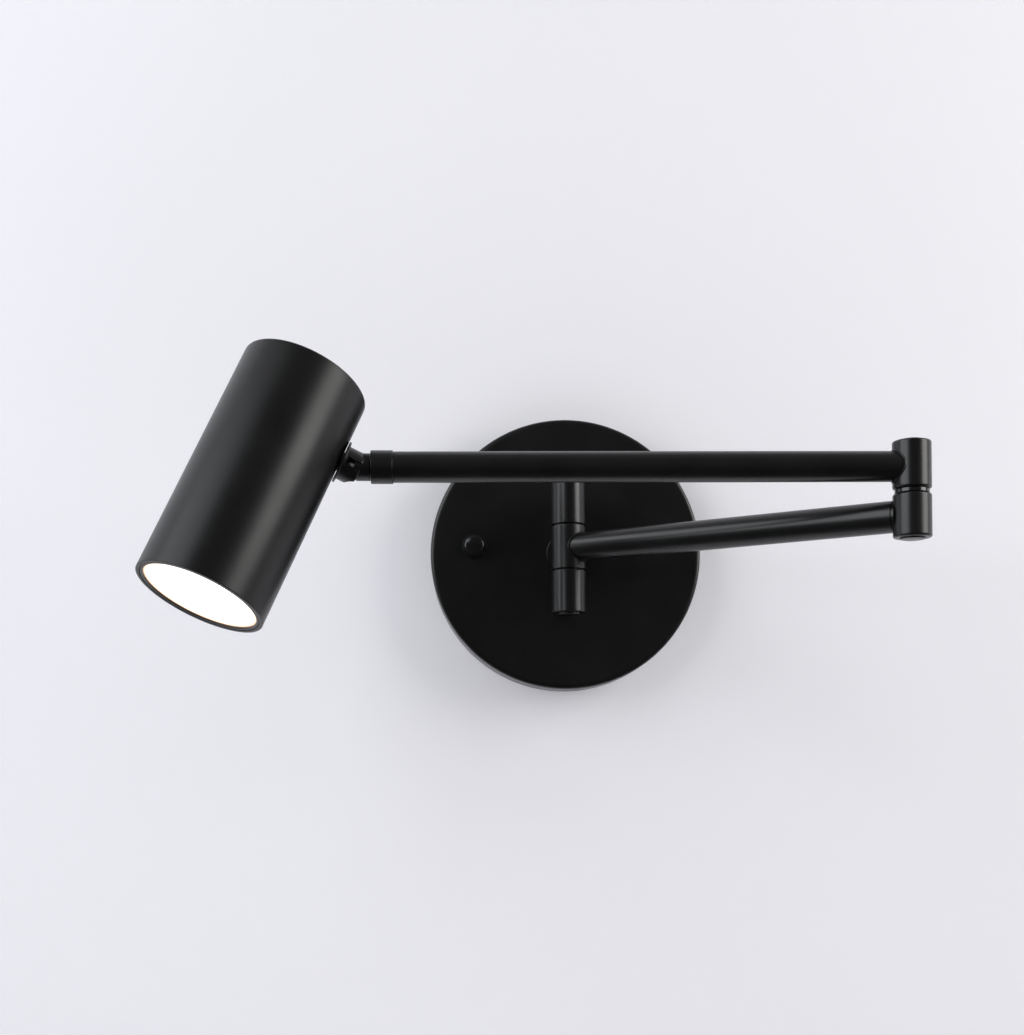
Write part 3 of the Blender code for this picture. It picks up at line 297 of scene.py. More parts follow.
def lit_diffuser(name):
    """Frosted acrylic lit from behind: brightest over the LED, a little warmer towards its edge."""
    nodes = Nodes(name)
    frost = nodes.noise(1800.0, 3.0, 0.6)
    offset = nodes.tree.nodes.new("ShaderNodeVectorMath")
    offset.operation = "DISTANCE"
    offset.inputs[1].default_value = (0, 0, 0)
    nodes.link(nodes.place, offset.inputs[0])
    reach = nodes.tree.nodes.new("ShaderNodeMapRange")
    reach.inputs["From Max"].default_value = RING_BORE
    nodes.link(offset.outputs["Value"], reach.inputs["Value"])
    stops = [
        (0.0, (1.0, 0.985, 0.96)),
        (0.93, (1.0, 0.96, 0.90)),
        (0.965, (1.0, 0.72, 0.40)),
        (1.0, (0.30, 0.12, 0.04)),
    ]
    nodes.link(nodes.ramp(reach.outputs["Result"], *stops), nodes.shader.inputs["Emission Color"])
    nodes.set(Base_Color=(0.85, 0.83, 0.78, 1.0), Emission_Strength=1.25)
    nodes.link(nodes.spread(frost, 0.42, 0.58), nodes.shader.inputs["Roughness"])
    nodes.bump((frost, 0.000012))
    return nodes.material


def glowing_phosphor(name):
    nodes = Nodes(name)
    grain = nodes.noise(2600.0, 2.0)
    glow = nodes.ramp(grain, (0.3, (1.0, 0.72, 0.25)), (0.7, (1.0, 0.82, 0.4)))
    nodes.link(glow, nodes.shader.inputs["Base Color"])
    nodes.set(Emission_Color=(1.0, 0.85, 0.6, 1.0), Emission_Strength=2.0, Roughness=0.5)
    return nodes.material


def make_materials():
    return {
        "black_paint": powder_coat("satin_black_powder_coat"),
        "head_paint": powder_coat("satin_black_head", 0.34, 1.42),
        "black_screws": metal("black_oxide", (0.012, 0.012, 0.013), (0.022, 0.022, 0.024), 0.38),
        "zinc_plate": metal("zinc_plating", (0.50, 0.51, 0.53), (0.66, 0.67, 0.70), 0.34, 340.0),
        "pivot_steel": metal(
            "turned_steel", (0.45, 0.45, 0.46), (0.58, 0.58, 0.59), 0.28, 700.0, (1, 1, 9)
        ),
        "spring_steel": metal("spring_steel", (0.42, 0.42, 0.43), (0.55, 0.55, 0.57), 0.26, 1400.0),
        "brass_screw": metal("brass", (0.60, 0.40, 0.14), (0.78, 0.56, 0.24), 0.30),
        "polished_ball": metal(
            "polished_ball", (0.78, 0.78, 0.79), (0.86, 0.86, 0.87), 0.16, 1600.0, None, 0.000001
        ),
        "switch_plastic": moulded("switch_plastic", (0.008, 0.008, 0.009), (0.014, 0.014, 0.015), 0.42),
        "button_plastic": gloss_black("gloss_black_button", 0.20, 0.000003),
        "washer_nylon": moulded("washer_nylon", (0.010, 0.010, 0.010), (0.016, 0.016, 0.016), 0.45),
        "elbow_spacer": gloss_black("black_spacer", 0.18, 0.000003, 1.6),
        "driver_casing": moulded("driver_casing", (0.62, 0.62, 0.60), (0.74, 0.74, 0.72), 0.50),
        "terminal_plastic": moulded("terminal_plastic", (0.70, 0.70, 0.64), (0.80, 0.80, 0.74), 0.42),
        "lead_sheath": moulded("lead_sheath", (0.018, 0.018, 0.019), (0.032, 0.032, 0.034), 0.50, 1500.0),
        "reflector_white": moulded("reflector_white", (0.84, 0.84, 0.81), (0.90, 0.90, 0.88), 0.32),
        "led_substrate": moulded("led_substrate", (0.74, 0.74, 0.70), (0.84, 0.84, 0.80), 0.35),
        "led_phosphor": glowing_phosphor("led_phosphor"),
        "sink_aluminium": metal(
            "machined_aluminium", (0.66, 0.67, 0.68), (0.78, 0.79, 0.80), 0.32, 500.0, (1, 1, 8)
        ),
        "lit_diffuser": lit_diffuser("lit_diffuser"),
    }


MATERIALS = make_materials()
SLOT_OF = {item["node"]: item["material_slot"] for item in frame["record"]["subparts"]}
BODY_OF = {
    node: body for body, nodes in frame["record"]["behaviour"]["bodies"].items() for node in nodes
}


# ---------------------------------------------------------------- shape helpers


def rounded(corners, steps=5):
    """Profile points from (radius, height, rounding) corners, each rounded one drawn as a short curve."""
    points = []
    for index, (radius, height, rounding) in enumerate(corners):
        corner = Vector((radius, height))
        if not rounding:
            points.append(corner)
            continue
        before = Vector(corners[index - 1][:2]) - corner
        after = Vector(corners[(index + 1) % len(corners)][:2]) - corner
        start = corner + before.normalized() * min(rounding, before.length * 0.45)
        end = corner + after.normalized() * min(rounding, after.length * 0.45)
        for step in range(steps + 1):
            t = step / steps
            points.append(start * (1 - t) ** 2 + corner * 2 * t * (1 - t) + end * t * t)
    return supported(points, corners[0][0] > 0)


def supported(points, ring):
    """Adds a point near both ends of each long straight stretch, so flat faces are shaded flat."""
    result = []
    count = len(points) if ring else len(points) - 1
    for index in range(len(points)):
        result.append(points[index])
        if index >= count:
            continue
        step = points[(index + 1) % len(points)] - points[index]
        if step.length > 6 * SUPPORT:
            inset = step.normalized() * SUPPORT
            result.append(points[index] + inset)
            result.append(points[index] + step - inset)
    return result


def turn_to(origin, axis):
    turn = UP.rotation_difference(Vector(axis)).to_matrix().to_4x4()
    return Matrix.Translation(origin) @ turn


def lathe(name, corners, origin, axis, steps=ROUND):
    """A turned piece about an axis. A profile that leaves the axis alone is closed into a ring."""
    profile = rounded(corners)
    ring = corners[0][0] > 0
    shape = bmesh.new()
    loops = []
    for radius, height in profile:
        if radius < 1e-7:
            loops.append([shape.verts.new((0, 0, height))])
            continue
        loop = []
        for step in range(steps):
            angle = 2 * math.pi * step / steps
            loop.append(shape.verts.new((radius * math.cos(angle), radius * math.sin(angle), height)))
        loops.append(loop)
    pairs = list(zip(loops, loops[1:]))
    if ring:
        pairs.append((loops[-1], loops[0]))
    for upper, lower in pairs:
        for step in range(steps):
            after = (step + 1) % steps
            corner_ring = [upper[step % len(upper)], upper[after % len(upper)]]
            corner_ring += [lower[after % len(lower)], lower[step % len(lower)]]
            unique = list(dict.fromkeys(corner_ring))
            if len(unique) > 2:
                shape.faces.new(unique)
    bmesh.ops.recalc_face_normals(shape, faces=shape.faces)
    return mesh_object(name, shape, turn_to(origin, axis))


def drill(name, radius, low, high, origin, axis, steps=SMALL, edge=0.0):
    """A plain cylinder from one height to another along an axis, to cut with."""
    corners = [(0, high, 0), (radius, high, edge), (radius, low, edge), (0, low, 0)]
    return lathe(name, corners, origin, axis, steps)


def mesh_object(name, shape, matrix=None):
    mesh = bpy.data.meshes.new(name)
    shape.to_mesh(mesh)
    shape.free()
    if matrix:
        mesh.transform(matrix)
    obj = bpy.data.objects.new(name, mesh)
    bpy.context.scene.collection.objects.link(obj)
    return obj


def block(name, low, high, matrix=None, edge=0.0, segments=3):
    """A box between two corners, with rounded edges where an edge width is given."""
    shape = bmesh.new()
    bmesh.ops.create_cube(shape, size=1.0)
    size = Vector(high) - Vector(low)
    centre = (Vector(high) + Vector(low)) / 2
    fit = Matrix.Translation(centre) @ Matrix.Diagonal((*size, 1))
    bmesh.ops.transform(shape, matrix=fit, verts=shape.verts)
    if edge:
        bmesh.ops.bevel(
            shape, geom=shape.edges, offset=edge, segments=segments, profile=0.5, affect="EDGES"
        )
    return mesh_object(name, shape, matrix)


def combine(obj, operation, *tools):
    """Joins or cuts solids and removes the tools."""
    for tool in tools:
        modifier = obj.modifiers.new(tool.name, "BOOLEAN")
        modifier.operation = operation
        modifier.solver = "EXACT"
        modifier.object = tool
    bake(obj)
    for tool in tools:
        bpy.data.objects.remove(tool, do_unlink=True)
    return obj


def bake(obj):
    """Replaces an object's mesh by the result of its modifiers."""
    graph = bpy.context.evaluated_depsgraph_get()
    mesh = bpy.data.meshes.new_from_object(obj.evaluated_get(graph))
    obj.modifiers.clear()
    obj.data = mesh


def joined(obj, *others):
    """Adds other objects' meshes to one object and removes them."""
    shape = bmesh.new()
    shape.from_mesh(obj.data)
    for other in others:
        shape.from_mesh(other.data)
        bpy.data.objects.remove(other, do_unlink=True)
    shape.to_mesh(obj.data)
    shape.free()
    return obj


def about_own_axis(obj, origin, axis):
    """Moves an object's origin onto a point and turns its Z along an axis. The shape stays put."""
    matrix = turn_to(origin, axis)
    obj.data.transform(matrix.inverted())
    obj.matrix_world = matrix
    return obj


def finish_piece(obj, node, origin=None, axis=None, flat=False):
    """Shades a piece, gives it its CAD node's material slot, and lets it ride in that node's place."""
    if origin is not None:
        about_own_axis(obj, origin, axis)
    mesh = obj.data
    mesh.name = obj.name
    mesh.materials.clear()
    mesh.materials.append(MATERIALS[SLOT_OF[node]])
    mesh.shade_smooth()
    mesh.set_sharp_from_angle(angle=SHARP_ANGLE)
    if flat:
        normals = obj.modifiers.new("flat_faces", "WEIGHTED_NORMAL")
        normals.keep_sharp = True
    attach(obj, BODY_OF[node])
    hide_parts(node)
    return obj


def refined(node, edge, segments=2):
    """A cleaned copy of a CAD node with its facets smoothed and its sharp edges rounded."""
    shape = bmesh.new()
    shape.from_mesh(frame["nodes"][node].data)
    bmesh.ops.remove_doubles(shape, verts=shape.verts, dist=0.000002)
    bmesh.ops.dissolve_limit(
        shape, angle_limit=math.radians(1.0), verts=shape.verts, edges=shape.edges, delimit={"NORMAL"}
    )
    obj = mesh_object(f"{node}_detailed", shape)
    attribute = obj.data.attributes.get("custom_normal")
    if attribute:
        obj.data.attributes.remove(attribute)
    if edge:
        bevel = obj.modifiers.new("edges", "BEVEL")
        bevel.width = edge
        bevel.segments = segments
        bevel.limit_method = "ANGLE"
        bevel.angle_limit = SHARP_ANGLE
        bevel.harden_normals = False
        bake(obj)
    return finish_piece(obj, node, flat=True)


def weld_bead(centre, barrel_radius, tube_direction, tube_radius):
    """A slim fillet of metal along the saddle curve where a tube meets an upright barrel."""
    side = UP.cross(tube_direction).normalized()
    reach = tube_radius + BEAD_RADIUS * 0.6
    shape = bmesh.new()
    rings = []
    turns = 120
    sides = 8
    centres = []
    for index in range(turns):
        angle = 2 * math.pi * index / turns
        across = reach * math.cos(angle)
        rise = reach * math.sin(angle)
        out = math.sqrt(barrel_radius**2 - across**2)
        centres.append(centre + side * across + UP * rise + tube_direction * out)
    first = (centres[1] - centres[-1]).orthogonal()
    for index, spot in enumerate(centres):
        along = (centres[(index + 1) % turns] - centres[index - 1]).normalized()
        first = (first - along * first.dot(along)).normalized()
        second = along.cross(first)
        ring = []
        for step in range(sides):
            angle = 2 * math.pi * step / sides
            around = first * math.cos(angle) + second * math.sin(angle)
            ring.append(shape.verts.new(spot + around * BEAD_RADIUS))
        rings.append(ring)
    for index in range(turns):
        here = rings[index]
        after = rings[(index + 1) % turns]
        for step in range(sides):
            nxt = (step + 1) % sides
            shape.faces.new((here[step], here[nxt], after[nxt], after[step]))
    bmesh.ops.recalc_face_normals(shape, faces=shape.faces)
    return mesh_object("bead", shape)


# ---------------------------------------------------------------- wall parts


def make_canopy():
    depth = canopy_depth()
    wall = CANOPY_WALL
    _, _, radius = span("canopy", Vector(), TO_ROOM)
    corners = [
        (BUTTON_HOLE, depth, FINE_EDGE),
        (radius, depth, CANOPY_EDGE),
        (radius, 0, FINE_EDGE),
        (radius - wall, 0, FINE_EDGE),
        (radius - wall, depth - wall, CANOPY_EDGE - wall),
        (BUTTON_HOLE, depth - wall, 0),
    ]
    canopy = lathe("canopy_shell", corners, Vector(), TO_ROOM, FINEST)
    tools = [drill("hole", BUTTON_HOLE, depth / 2, depth * 1.5, BUTTON_AXIS_FOOT, TO_ROOM)]
    for node in ("side_screw_left", "side_screw_right"):
        spot = middle(node)
        axis = Vector((math.copysign(1, spot.x), 0, 0))
        foot = Vector((0, spot.y, 0))
        tools.append(drill("hole", SIDE_SCREW_HOLE, radius * 0.8, radius * 1.1, foot, axis))
    combine(canopy, "DIFFERENCE", *tools)
    finish_piece(canopy, "canopy", Vector(), TO_ROOM, flat=True)


def canopy_depth():
    return -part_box("canopy")[0].y


def make_boss():
    low, high, radius = span("hub_boss", Vector(), TO_ROOM)
    face = canopy_depth()
    seat = face + 0.0001
    corners = [(STUD_BORE, high, FINE_EDGE), (radius, high, EDGE), (radius, seat, 0), (STUD, seat, 0)]
    root = STUD - THREAD_DEPTH
    count = int((face - low) / THREAD_PITCH) - 2
    for index in range(count):
        top = face - 0.0010 - index * THREAD_PITCH
        corners += [(STUD, top, 0), (root, top - THREAD_PITCH / 2, 0)]
    corners += [(STUD, low + THREAD_DEPTH, 0), (root, low, 0), (STUD_BORE, low, 0)]
    boss = lathe("hub_boss_turned", corners, Vector(), TO_ROOM)
    finish_piece(boss, "hub_boss", Vector(), TO_ROOM)


def make_yoke():
    low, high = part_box("hub_yoke")
    yoke = block("hub_yoke_milled", low, high, edge=YOKE_EDGE, segments=4)
    _, _, barrel = span("hub_barrel_top", SHOULDER, UP)
    seat = drill("seat", barrel - 0.0001, -FAR, FAR, SHOULDER, UP, ROUND)
    gap = barrel + YOKE_EDGE
    relief = drill("relief", gap, -YOKE_SWING, YOKE_SWING, SHOULDER, UP, ROUND, EDGE)
    combine(yoke, "DIFFERENCE", seat, relief)
    finish_piece(yoke, "hub_yoke", flat=True)


def make_barrel(name, node, origin, edge=EDGE):
    low, high, radius = span(node, origin, UP)
    corners = [(PIVOT_BORE, high, 0), (radius, high, edge), (radius, low, edge)]
    corners += [(PIVOT_BORE, low, 0)]
    return lathe(name, corners, origin, UP)


def make_hub():
    for node in ("hub_barrel_top", "hub_barrel_bottom"):
        finish_piece(make_barrel(f"{node}_turned", node, SHOULDER), node, SHOULDER, UP)
    for node, side in (("hub_plug_top", 1), ("hub_plug_bottom", -1)):
        make_plug(node, SHOULDER, UP * side)
    for node in ("hub_washer_top", "hub_washer_bottom"):
        finish_piece(make_barrel(f"{node}_turned", node, SHOULDER, 0.0001), node, SHOULDER, UP)


def make_plug(node, origin, axis):
    """Low domed end plug with a rounded shoulder."""
    low, high, radius = span(node, origin, axis)
    seat = low + PLUG_SHANK_LENGTH
    shoulder = high - PLUG_CROWN
    corners = [(0, high, 0), (radius * 0.55, high - 0.00006, 0), (radius, shoulder, 0.0006)]
    corners += [(radius, seat, 0), (PLUG_SHANK, seat, 0), (PLUG_SHANK, low, FINE_EDGE), (0, low, 0)]
    finish_piece(lathe(f"{node}_turned", corners, origin, axis), node, origin, axis)


def make_switch():
    low, high, radius = span("push_button", BUTTON_AXIS_FOOT, TO_ROOM)
    face = canopy_depth()
    lip = face + BUTTON_LIP
    skirt = face + BUTTON_SKIRT
    corners = []
    count = 18
    for index in range(count + 1):
        angle = math.pi / 2 * index / count
        height = lip + 0.0002 + (high - lip - 0.0002) * math.cos(angle)
        corners.append((radius * math.sin(angle), height, 0))
    corners += [(radius, lip, FINE_EDGE / 2), (BUTTON_BODY, lip, 0), (BUTTON_BODY, skirt, 0)]
    corners += [(BUTTON_STEM, skirt, 0), (BUTTON_STEM, low, 0), (0, low, 0)]
    cap = lathe("push_button_cap", corners, BUTTON_AXIS_FOOT, TO_ROOM)
    finish_piece(cap, "push_button", BUTTON_AXIS_FOOT, TO_ROOM)
    low, high, radius = span("switch_bezel", BUTTON_AXIS_FOOT, TO_ROOM)
    rim = high - 0.00045
    corners = [(BEZEL_BORE, high, FINE_EDGE), (radius, high, 0.0003), (radius, low, FINE_EDGE)]
    corners += [(BEZEL_SEAT, low, 0), (BEZEL_SEAT, rim, 0), (BEZEL_BORE, rim, 0)]
    bezel = lathe("switch_bezel_turned", corners, BUTTON_AXIS_FOOT, TO_ROOM)
    finish_piece(bezel, "switch_bezel", BUTTON_AXIS_FOOT, TO_ROOM)


def make_side_screws():
    """Grub screws with a hexagonal socket in their outer end."""
    for node in ("side_screw_left", "side_screw_right"):
        spot = middle(node)
        foot = Vector((0, spot.y, spot.z))
        axis = Vector((math.copysign(1, spot.x), 0, 0))
        low, high, radius = span(node, foot, axis)
        corners = [(0, high, 0), (radius, high, 0.0003), (radius, low, FINE_EDGE), (0, low, 0)]
        screw = lathe(f"{node}_turned", corners, foot, axis, SMALL)
        corners = [(0, high + KEY_RADIUS, 0), (KEY_RADIUS, high + KEY_RADIUS, 0)]
        corners += [(KEY_RADIUS, high - KEY_DEPTH, 0), (0, high - KEY_DEPTH - FINE_EDGE, 0)]
        socket = lathe("key", corners, foot, axis, 6)
        combine(screw, "DIFFERENCE", socket)
        finish_piece(screw, node, foot, axis, flat=True)


# ---------------------------------------------------------------- arms


def make_tube(node, origin, axis, barrel_radius):
    """Tube whose near end follows the barrel that it is brazed to."""
    _, high, radius = span(node, origin, axis)
    bore = radius - TUBE_WALL
    corners = [(bore, 0, 0), (bore, high, FINE_EDGE), (radius, high, FINE_EDGE), (radius, 0, 0)]
    tube = lathe(f"{node}_cut", corners, origin, axis, FINE)
    seat = drill("seat", barrel_radius - 0.0002, -FAR, FAR, origin, UP, ROUND)
    return combine(tube, "DIFFERENCE", seat)


def make_lower_arm():
    knuckle = make_barrel("hub_knuckle_turned", "hub_knuckle", SHOULDER)
    _, _, barrel = span("hub_knuckle", SHOULDER, UP)
    finish_piece(knuckle, "hub_knuckle", SHOULDER, UP)
    tube = make_tube("lower_arm_tube", SHOULDER, LOWER_DIRECTION, barrel)
    _, _, radius = span("lower_arm_tube", SHOULDER, LOWER_DIRECTION)
    bead = weld_bead(SHOULDER, barrel, LOWER_DIRECTION, radius)
    finish_piece(joined(tube, bead), "lower_arm_tube", SHOULDER, LOWER_DIRECTION)

    low, high, _ = span("elbow_barrel_lower", ELBOW, UP)
    corners = [(PIVOT_BORE, high, 0), (barrel, high, SOFT_EDGE), (barrel, low, SOFT_EDGE)]
    corners += [(PIVOT_BORE, low, 0)]
    elbow = lathe("elbow_barrel_lower_turned", corners, ELBOW, UP)
    back = -LOWER_DIRECTION
    low, high, _ = span("elbow_barrel_lower", ELBOW, back)
    shoulder = 0.0075
    inside = 0.0060
    corners = [(0, high, 0), (ELBOW_LINER, high, 0), (ELBOW_LINER, shoulder + 0.0004, 0)]
    corners += [(ELBOW_NECK, shoulder + 0.0001, FINE_EDGE), (ELBOW_NECK, inside, 0), (0, inside, 0)]
    spigot = lathe("spigot", corners, ELBOW, back)
    finish_piece(joined(elbow, spigot), "elbow_barrel_lower", ELBOW, UP)

    washer = make_barrel("elbow_washer_turned", "elbow_washer", ELBOW, 0.0003)
    finish_piece(washer, "elbow_washer", ELBOW, UP)
    make_plug("elbow_plug_bottom", ELBOW, -UP)


def make_upper_arm():
    _, _, barrel = span("elbow_barrel_upper", ELBOW, UP)
    elbow = make_barrel("elbow_barrel_upper_turned", "elbow_barrel_upper", ELBOW, SOFT_EDGE)
    finish_piece(elbow, "elbow_barrel_upper", ELBOW, UP)
    make_plug("elbow_plug_top", ELBOW, UP)
    tube = make_tube("upper_arm_tube", ELBOW_TOP, UPPER_DIRECTION, barrel)
    _, _, radius = span("upper_arm_tube", ELBOW_TOP, UPPER_DIRECTION)
    bead = weld_bead(ELBOW_TOP, barrel, UPPER_DIRECTION, radius)
    finish_piece(joined(tube, bead), "upper_arm_tube", ELBOW_TOP, UPPER_DIRECTION)
    low, high, radius = span("arm_collar", ELBOW_TOP, UPPER_DIRECTION)
    near = high - COLLAR_LENGTH
    bore = STEM_JOURNAL + 0.0003
    corners = [(bore, high, 0), (radius, high, EDGE), (radius, near, EDGE), (COLLAR_SPIGOT, near, 0)]
    corners += [(COLLAR_SPIGOT, low, 0), (bore, low, 0)]
    collar = lathe("arm_collar_turned", corners, ELBOW_TOP, UPPER_DIRECTION)
    finish_piece(collar, "arm_collar", ELBOW_TOP, UPPER_DIRECTION)


# ---------------------------------------------------------------- head joint


def make_stem():
    back = -UPPER_DIRECTION
    low, high, radius = span("head_stem", HEAD_JOINT, back)
    bore = 0.0016
    corners = [(STEM_POCKET, low, 0), (radius, low, EDGE), (radius, STEM_SHOULDER, FINE_EDGE)]
    corners += [(STEM_JOURNAL, STEM_SHOULDER, 0), (STEM_JOURNAL, high, FINE_EDGE), (bore, high, 0)]
    corners += [(bore, 0.0046, 0), (STEM_POCKET, 0.0034, 0)]
    stem = lathe("head_stem_turned", corners, HEAD_JOINT, back)
    finish_piece(stem, "head_stem", HEAD_JOINT, back)
    _, _, radius = span("joint_ball", HEAD_JOINT, back)
    ball = []
    count = 20
    bore = 0.0011
    start = math.asin(bore / radius)
    end = math.pi - math.asin(BALL_NECK / radius)
    for index in range(count + 1):
        angle = start + (end - start) * index / count
        ball.append((radius * math.sin(angle), -radius * math.cos(angle), 0))
    ball += [(BALL_NECK, BALL_NECK_END, 0), (bore, BALL_NECK_END, 0)]
    polished = lathe("joint_ball_polished", ball, HEAD_JOINT, back)
    finish_piece(polished, "joint_ball", HEAD_JOINT, back)


def make_socket():
    """Cup of the head joint: turned, bored for the ball, slotted for the tilt."""
    axis = -SOCKET_DIRECTION
    low, high, flange = span("joint_socket", HEAD_JOINT, axis)
    radius = SOCKET_RADIUS
    _, _, head = span("head_shell", HEAD_FOOT, HEAD_UP)
    seat = head + SEAT_GAP - (HEAD_FOOT - HEAD_JOINT).length
    back = seat + FLANGE_THICKNESS
    corners = [(0, high, 0), (radius, high, 0.0011), (radius, back + 0.0002, LIP_EDGE)]
    corners += [(flange, back, LIP_EDGE), (flange, seat, LIP_EDGE), (SPIGOT, seat, 0)]
    corners += [(SPIGOT, low, FINE_EDGE), (0, low, 0)]
    cup = lathe("joint_socket_turned", corners, HEAD_JOINT, axis, FINE)
    sphere = [(0, BALL_POCKET, 0)]
    for index in range(1, 16):
        angle = math.pi * index / 16
        sphere.append((BALL_POCKET * math.sin(angle), BALL_POCKET * math.cos(angle), 0))
    sphere.append((0, -BALL_POCKET, 0))
    tools = [lathe("pocket", sphere, HEAD_JOINT, axis, SMALL)]
    tools.append(drill("bore", SOCKET_BORE, -FAR / 2, 0, HEAD_JOINT, axis))
    _, _, stem = span("head_stem", HEAD_JOINT, UPPER_DIRECTION)
    for step in range(5):
        reach = Matrix.Rotation(TILT_ROOM * step / 4, 3, TILT_AXIS) @ axis
        tools.append(drill("sweep", stem + STEM_ROOM, 0.0011, FAR / 2, HEAD_JOINT, reach))
    opening = Matrix.Rotation(SLOT_TURN, 3, SOCKET_DIRECTION) @ SOCKET_DIRECTION.cross(-TILT_AXIS)
    across = opening.cross(SOCKET_DIRECTION)
    turn = Matrix((SOCKET_DIRECTION, across, opening)).transposed().to_4x4()
    low_corner = (-0.02, -SLOT_HALF_WIDTH, 0.002)
    high_corner = (0.0028, SLOT_HALF_WIDTH, 0.012)
    tools.append(block("slot", low_corner, high_corner, Matrix.Translation(HEAD_JOINT) @ turn))
    combine(cup, "DIFFERENCE", *tools)
    finish_piece(cup, "joint_socket", HEAD_JOINT, axis, flat=True)


# ---------------------------------------------------------------- head


def make_head():
    low, high, radius = span("head_shell", HEAD_FOOT, HEAD_UP)
    inside = radius - HEAD_WALL
    ceiling = high - HEAD_WALL
    corners = [(0, high, 0), (radius, high, 0.0011), (radius, low, LIP_EDGE), (inside, low, LIP_EDGE)]
    corners += [(inside, ceiling, 0.0006), (0, ceiling, 0)]
    shell = lathe("head_shell_turned", corners, HEAD_FOOT, HEAD_UP, FINEST)
    hole = drill("hole", SPIGOT + LIP_EDGE, 0, 0.012, HEAD_JOINT, SOCKET_DIRECTION)
    combine(shell, "DIFFERENCE", hole)
    finish_piece(shell, "head_shell", HEAD_FOOT, HEAD_UP, flat=True)

    low, high, outer = span("retaining_ring", HEAD_FOOT, HEAD_UP)
    corners = [(RING_BORE, high, 0), (outer, high, 0), (outer, low, FINE_EDGE)]
    corners += [(RING_BORE, low, LIP_EDGE)]
    ring = lathe("retaining_ring_turned", corners, HEAD_FOOT, HEAD_UP, FINEST)
    finish_piece(ring, "retaining_ring", HEAD_FOOT, HEAD_UP)

    low, high, radius = span("diffuser", HEAD_FOOT, HEAD_UP)
    centre = HEAD_FOOT + HEAD_UP * low
    thick = high - low
    corners = [(0, thick, 0), (radius, thick, 0), (radius, 0, FINE_EDGE)]
    corners += [(radius * 0.5, -0.00004, 0), (0, -0.00006, 0)]
    sheet = lathe("diffuser_moulded", corners, centre, HEAD_UP, FINEST)
    finish_piece(sheet, "diffuser", centre, HEAD_UP)


# ---------------------------------------------------------------- stage, lights and camera


def plain_wall_material():
    """Matt pale paint. The back of the sheet lets the view through, so the lamp is seen from behind too."""
    nodes = Nodes("pale_wall")
    roller = nodes.noise(260.0, 3.0)
    cloud = nodes.noise(2.2, 2.0)
    shade_between(nodes, cloud, (0.865, 0.862, 0.893), (0.885, 0.882, 0.913))
    nodes.bump((roller, 0.00004))
    nodes.set(Roughness=0.9, Specular_IOR_Level=0.2)
    nodes.set(Emission_Color=(0.97, 0.965, 1.0, 1.0), Emission_Strength=0.135)
    tree = nodes.tree
    clear = tree.nodes.new("ShaderNodeBsdfTransparent")
    side = tree.nodes.new("ShaderNodeNewGeometry")
    mix = tree.nodes.new("ShaderNodeMixShader")
    nodes.link(side.outputs["Backfacing"], mix.inputs[0])
    nodes.link(nodes.shader.outputs[0], mix.inputs[1])
    nodes.link(clear.outputs[0], mix.inputs[2])
    nodes.link(mix.outputs[0], tree.nodes["Material Output"].inputs["Surface"])
    return nodes.material


def make_stage():
    """Pale wall with the wall box's opening behind the canopy, and a pale floor well below."""
    material = plain_wall_material()
    opening = 0.060
    reach = 4.0
    floor_level = -0.75
    shape = bmesh.new()
    loops = []
    sides = 96
    for radius in (opening, reach / 8, reach):
        loop = []
        for step in range(sides):
            angle = 2 * math.pi * step / sides
            loop.append(shape.verts.new((radius * math.cos(angle), 0, radius * math.sin(angle))))
        loops.append(loop)
    for inner, outer in zip(loops, loops[1:]):
        for step in range(sides):
            after = (step + 1) % sides
            shape.faces.new((inner[step], inner[after], outer[after], outer[step]))
    for face in shape.faces:
        face.normal_update()
        if face.normal.y > 0:
            face.normal_flip()
    wall = mesh_object("wall", shape)
    shape = bmesh.new()
    bmesh.ops.create_grid(shape, x_segments=1, y_segments=1, size=reach)
    floor = mesh_object("floor", shape, Matrix.Translation((0, 0, floor_level)))
    floor.visible_glossy = False
    for obj in (wall, floor):
        obj.data.materials.append(material)


def softbox(name, azimuth, elevation, distance, width, height, radiance, color):
    """Area light round the lamp. Azimuth 0 is towards the room, and positive to the right."""
    turn = math.radians(azimuth)
    rise = math.radians(elevation)
    direction = Vector((math.sin(turn) * math.cos(rise), -math.cos(turn) * math.cos(rise), math.sin(rise)))
    light = bpy.data.lights.new(name, "AREA")
    light.shape = "RECTANGLE"
    light.size = width
    light.size_y = height
    light.energy = radiance * math.pi * width * height
    light.color = color
    obj = bpy.data.objects.new(name, light)
    obj.location = LIGHT_TARGET + direction * distance
    obj.rotation_euler = (-direction).to_track_quat("-Z", "Y").to_euler()
    obj.visible_camera = False
    bpy.context.scene.collection.objects.link(obj)
    return obj


def make_lights():
    softbox("left_softbox", -56, 22, 1.1, 1.05, 0.95, 2.75, (0.94, 0.965, 1.0))
    softbox("right_softbox", 66, 16, 1.1, 0.60, 0.66, 4.9, (1.0, 0.985, 0.965))
    softbox("back_light", 205, 30, 1.0, 0.8, 0.8, 2.4, (1.0, 1.0, 1.0))


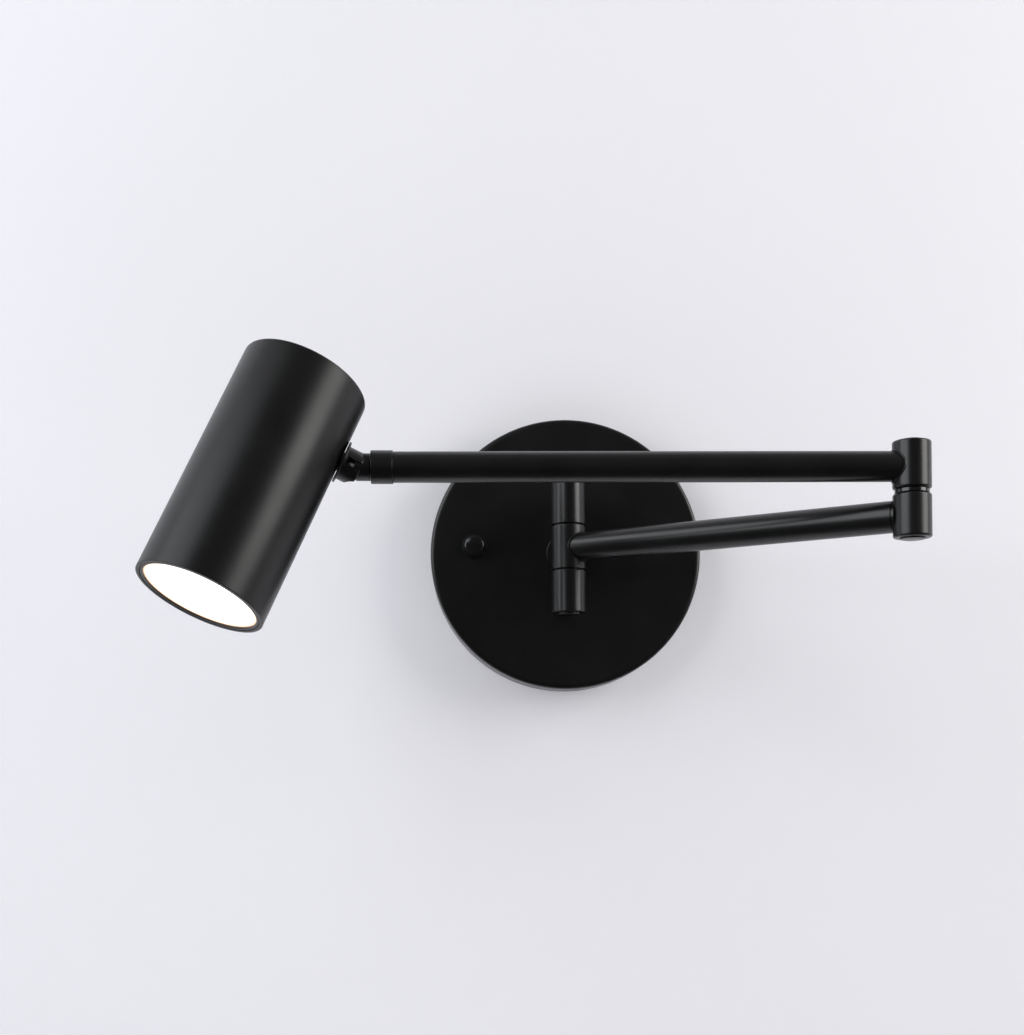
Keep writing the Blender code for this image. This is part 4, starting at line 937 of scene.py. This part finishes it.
def make_world():
    """Pale to the eye. For the lamp it is dim towards the room and below, and brighter at the sides."""
    world = bpy.data.worlds.new("studio")
    bpy.context.scene.world = world
    world.use_nodes = True
    tree = world.node_tree
    background = tree.nodes["Background"]
    direction = tree.nodes.new("ShaderNodeTexCoord").outputs["Generated"]
    facing = tree.nodes.new("ShaderNodeVectorMath")
    facing.operation = "DOT_PRODUCT"
    facing.inputs[1].default_value = TO_ROOM
    tree.links.new(direction, facing.inputs[0])
    level = tree.nodes.new("ShaderNodeMapRange")
    level.interpolation_type = "SMOOTHSTEP"
    level.inputs["From Min"].default_value = 0.2
    level.inputs["From Max"].default_value = 0.85
    level.inputs["To Min"].default_value = 0.30
    level.inputs["To Max"].default_value = 0.09
    tree.links.new(facing.outputs["Value"], level.inputs["Value"])
    height = tree.nodes.new("ShaderNodeSeparateXYZ")
    tree.links.new(direction, height.inputs[0])
    above = tree.nodes.new("ShaderNodeMapRange")
    above.inputs["From Min"].default_value = -0.6
    above.inputs["From Max"].default_value = 0.2
    above.inputs["To Min"].default_value = 0.15
    tree.links.new(height.outputs["Z"], above.inputs["Value"])
    shade = tree.nodes.new("ShaderNodeMath")
    shade.operation = "MULTIPLY"
    tree.links.new(level.outputs["Result"], shade.inputs[0])
    tree.links.new(above.outputs["Result"], shade.inputs[1])
    path = tree.nodes.new("ShaderNodeLightPath")
    seen = tree.nodes.new("ShaderNodeMix")
    seen.inputs["B"].default_value = 0.86
    tree.links.new(path.outputs["Is Camera Ray"], seen.inputs["Factor"])
    tree.links.new(shade.outputs["Value"], seen.inputs["A"])
    background.inputs["Color"].default_value = (0.985, 0.98, 1.0, 1.0)
    tree.links.new(seen.outputs["Result"], background.inputs["Strength"])


def make_camera():
    data = bpy.data.cameras.new("camera")
    data.sensor_fit = "HORIZONTAL"
    data.sensor_width = SENSOR_WIDTH
    data.lens = CAMERA_LENS_PER_WIDTH * SENSOR_WIDTH
    data.shift_y = CAMERA_SHIFT_UP
    camera = bpy.data.objects.new("camera", data)
    forward = Vector(
        (
            math.sin(CAMERA_YAW) * math.cos(CAMERA_PITCH),
            math.cos(CAMERA_YAW) * math.cos(CAMERA_PITCH),
            math.sin(CAMERA_PITCH),
        )
    )
    level_right = Vector((math.cos(CAMERA_YAW), -math.sin(CAMERA_YAW), 0))
    level_up = level_right.cross(forward)
    right = level_right * math.cos(CAMERA_ROLL) + level_up * math.sin(CAMERA_ROLL)
    up = right.cross(forward)
    turn = Matrix((right, up, -forward)).transposed().to_4x4()
    camera.matrix_world = Matrix.Translation(CAMERA_PLACE) @ turn
    bpy.context.scene.collection.objects.link(camera)
    bpy.context.scene.camera = camera


# ---------------------------------------------------------------- assembly


def dress_cad_nodes():
    """Gives every CAD node its slot's material, for the ones that stay in view."""
    for node, obj in frame["nodes"].items():
        obj.data.materials.clear()
        obj.data.materials.append(MATERIALS[SLOT_OF[node]])


bpy.context.scene.view_settings.view_transform = "Standard"
make_stage()
make_lights()
make_world()
make_camera()
dress_cad_nodes()
make_canopy()
make_boss()
make_yoke()
make_hub()
make_switch()
make_side_screws()
make_lower_arm()
make_upper_arm()
make_stem()
make_socket()
make_head()
for node, edge in (
    ("mounting_strap", 0.0002),
    ("ground_screw", 0.0001),
    ("stud_washer", 0.0001),
    ("stud_nut", 0.0002),
    ("led_driver", 0.0),
    ("terminal_block", 0.0002),
    ("switch_body", 0.0002),
    ("pivot_screw_front", 0.0001),
    ("pivot_screw_rear", 0.0001),
    ("canopy_lead", 0.0),
    ("driver_lead", 0.0),
    ("switch_lead", 0.0),
    ("button_spring", 0.0),
):
    refined(node, edge)
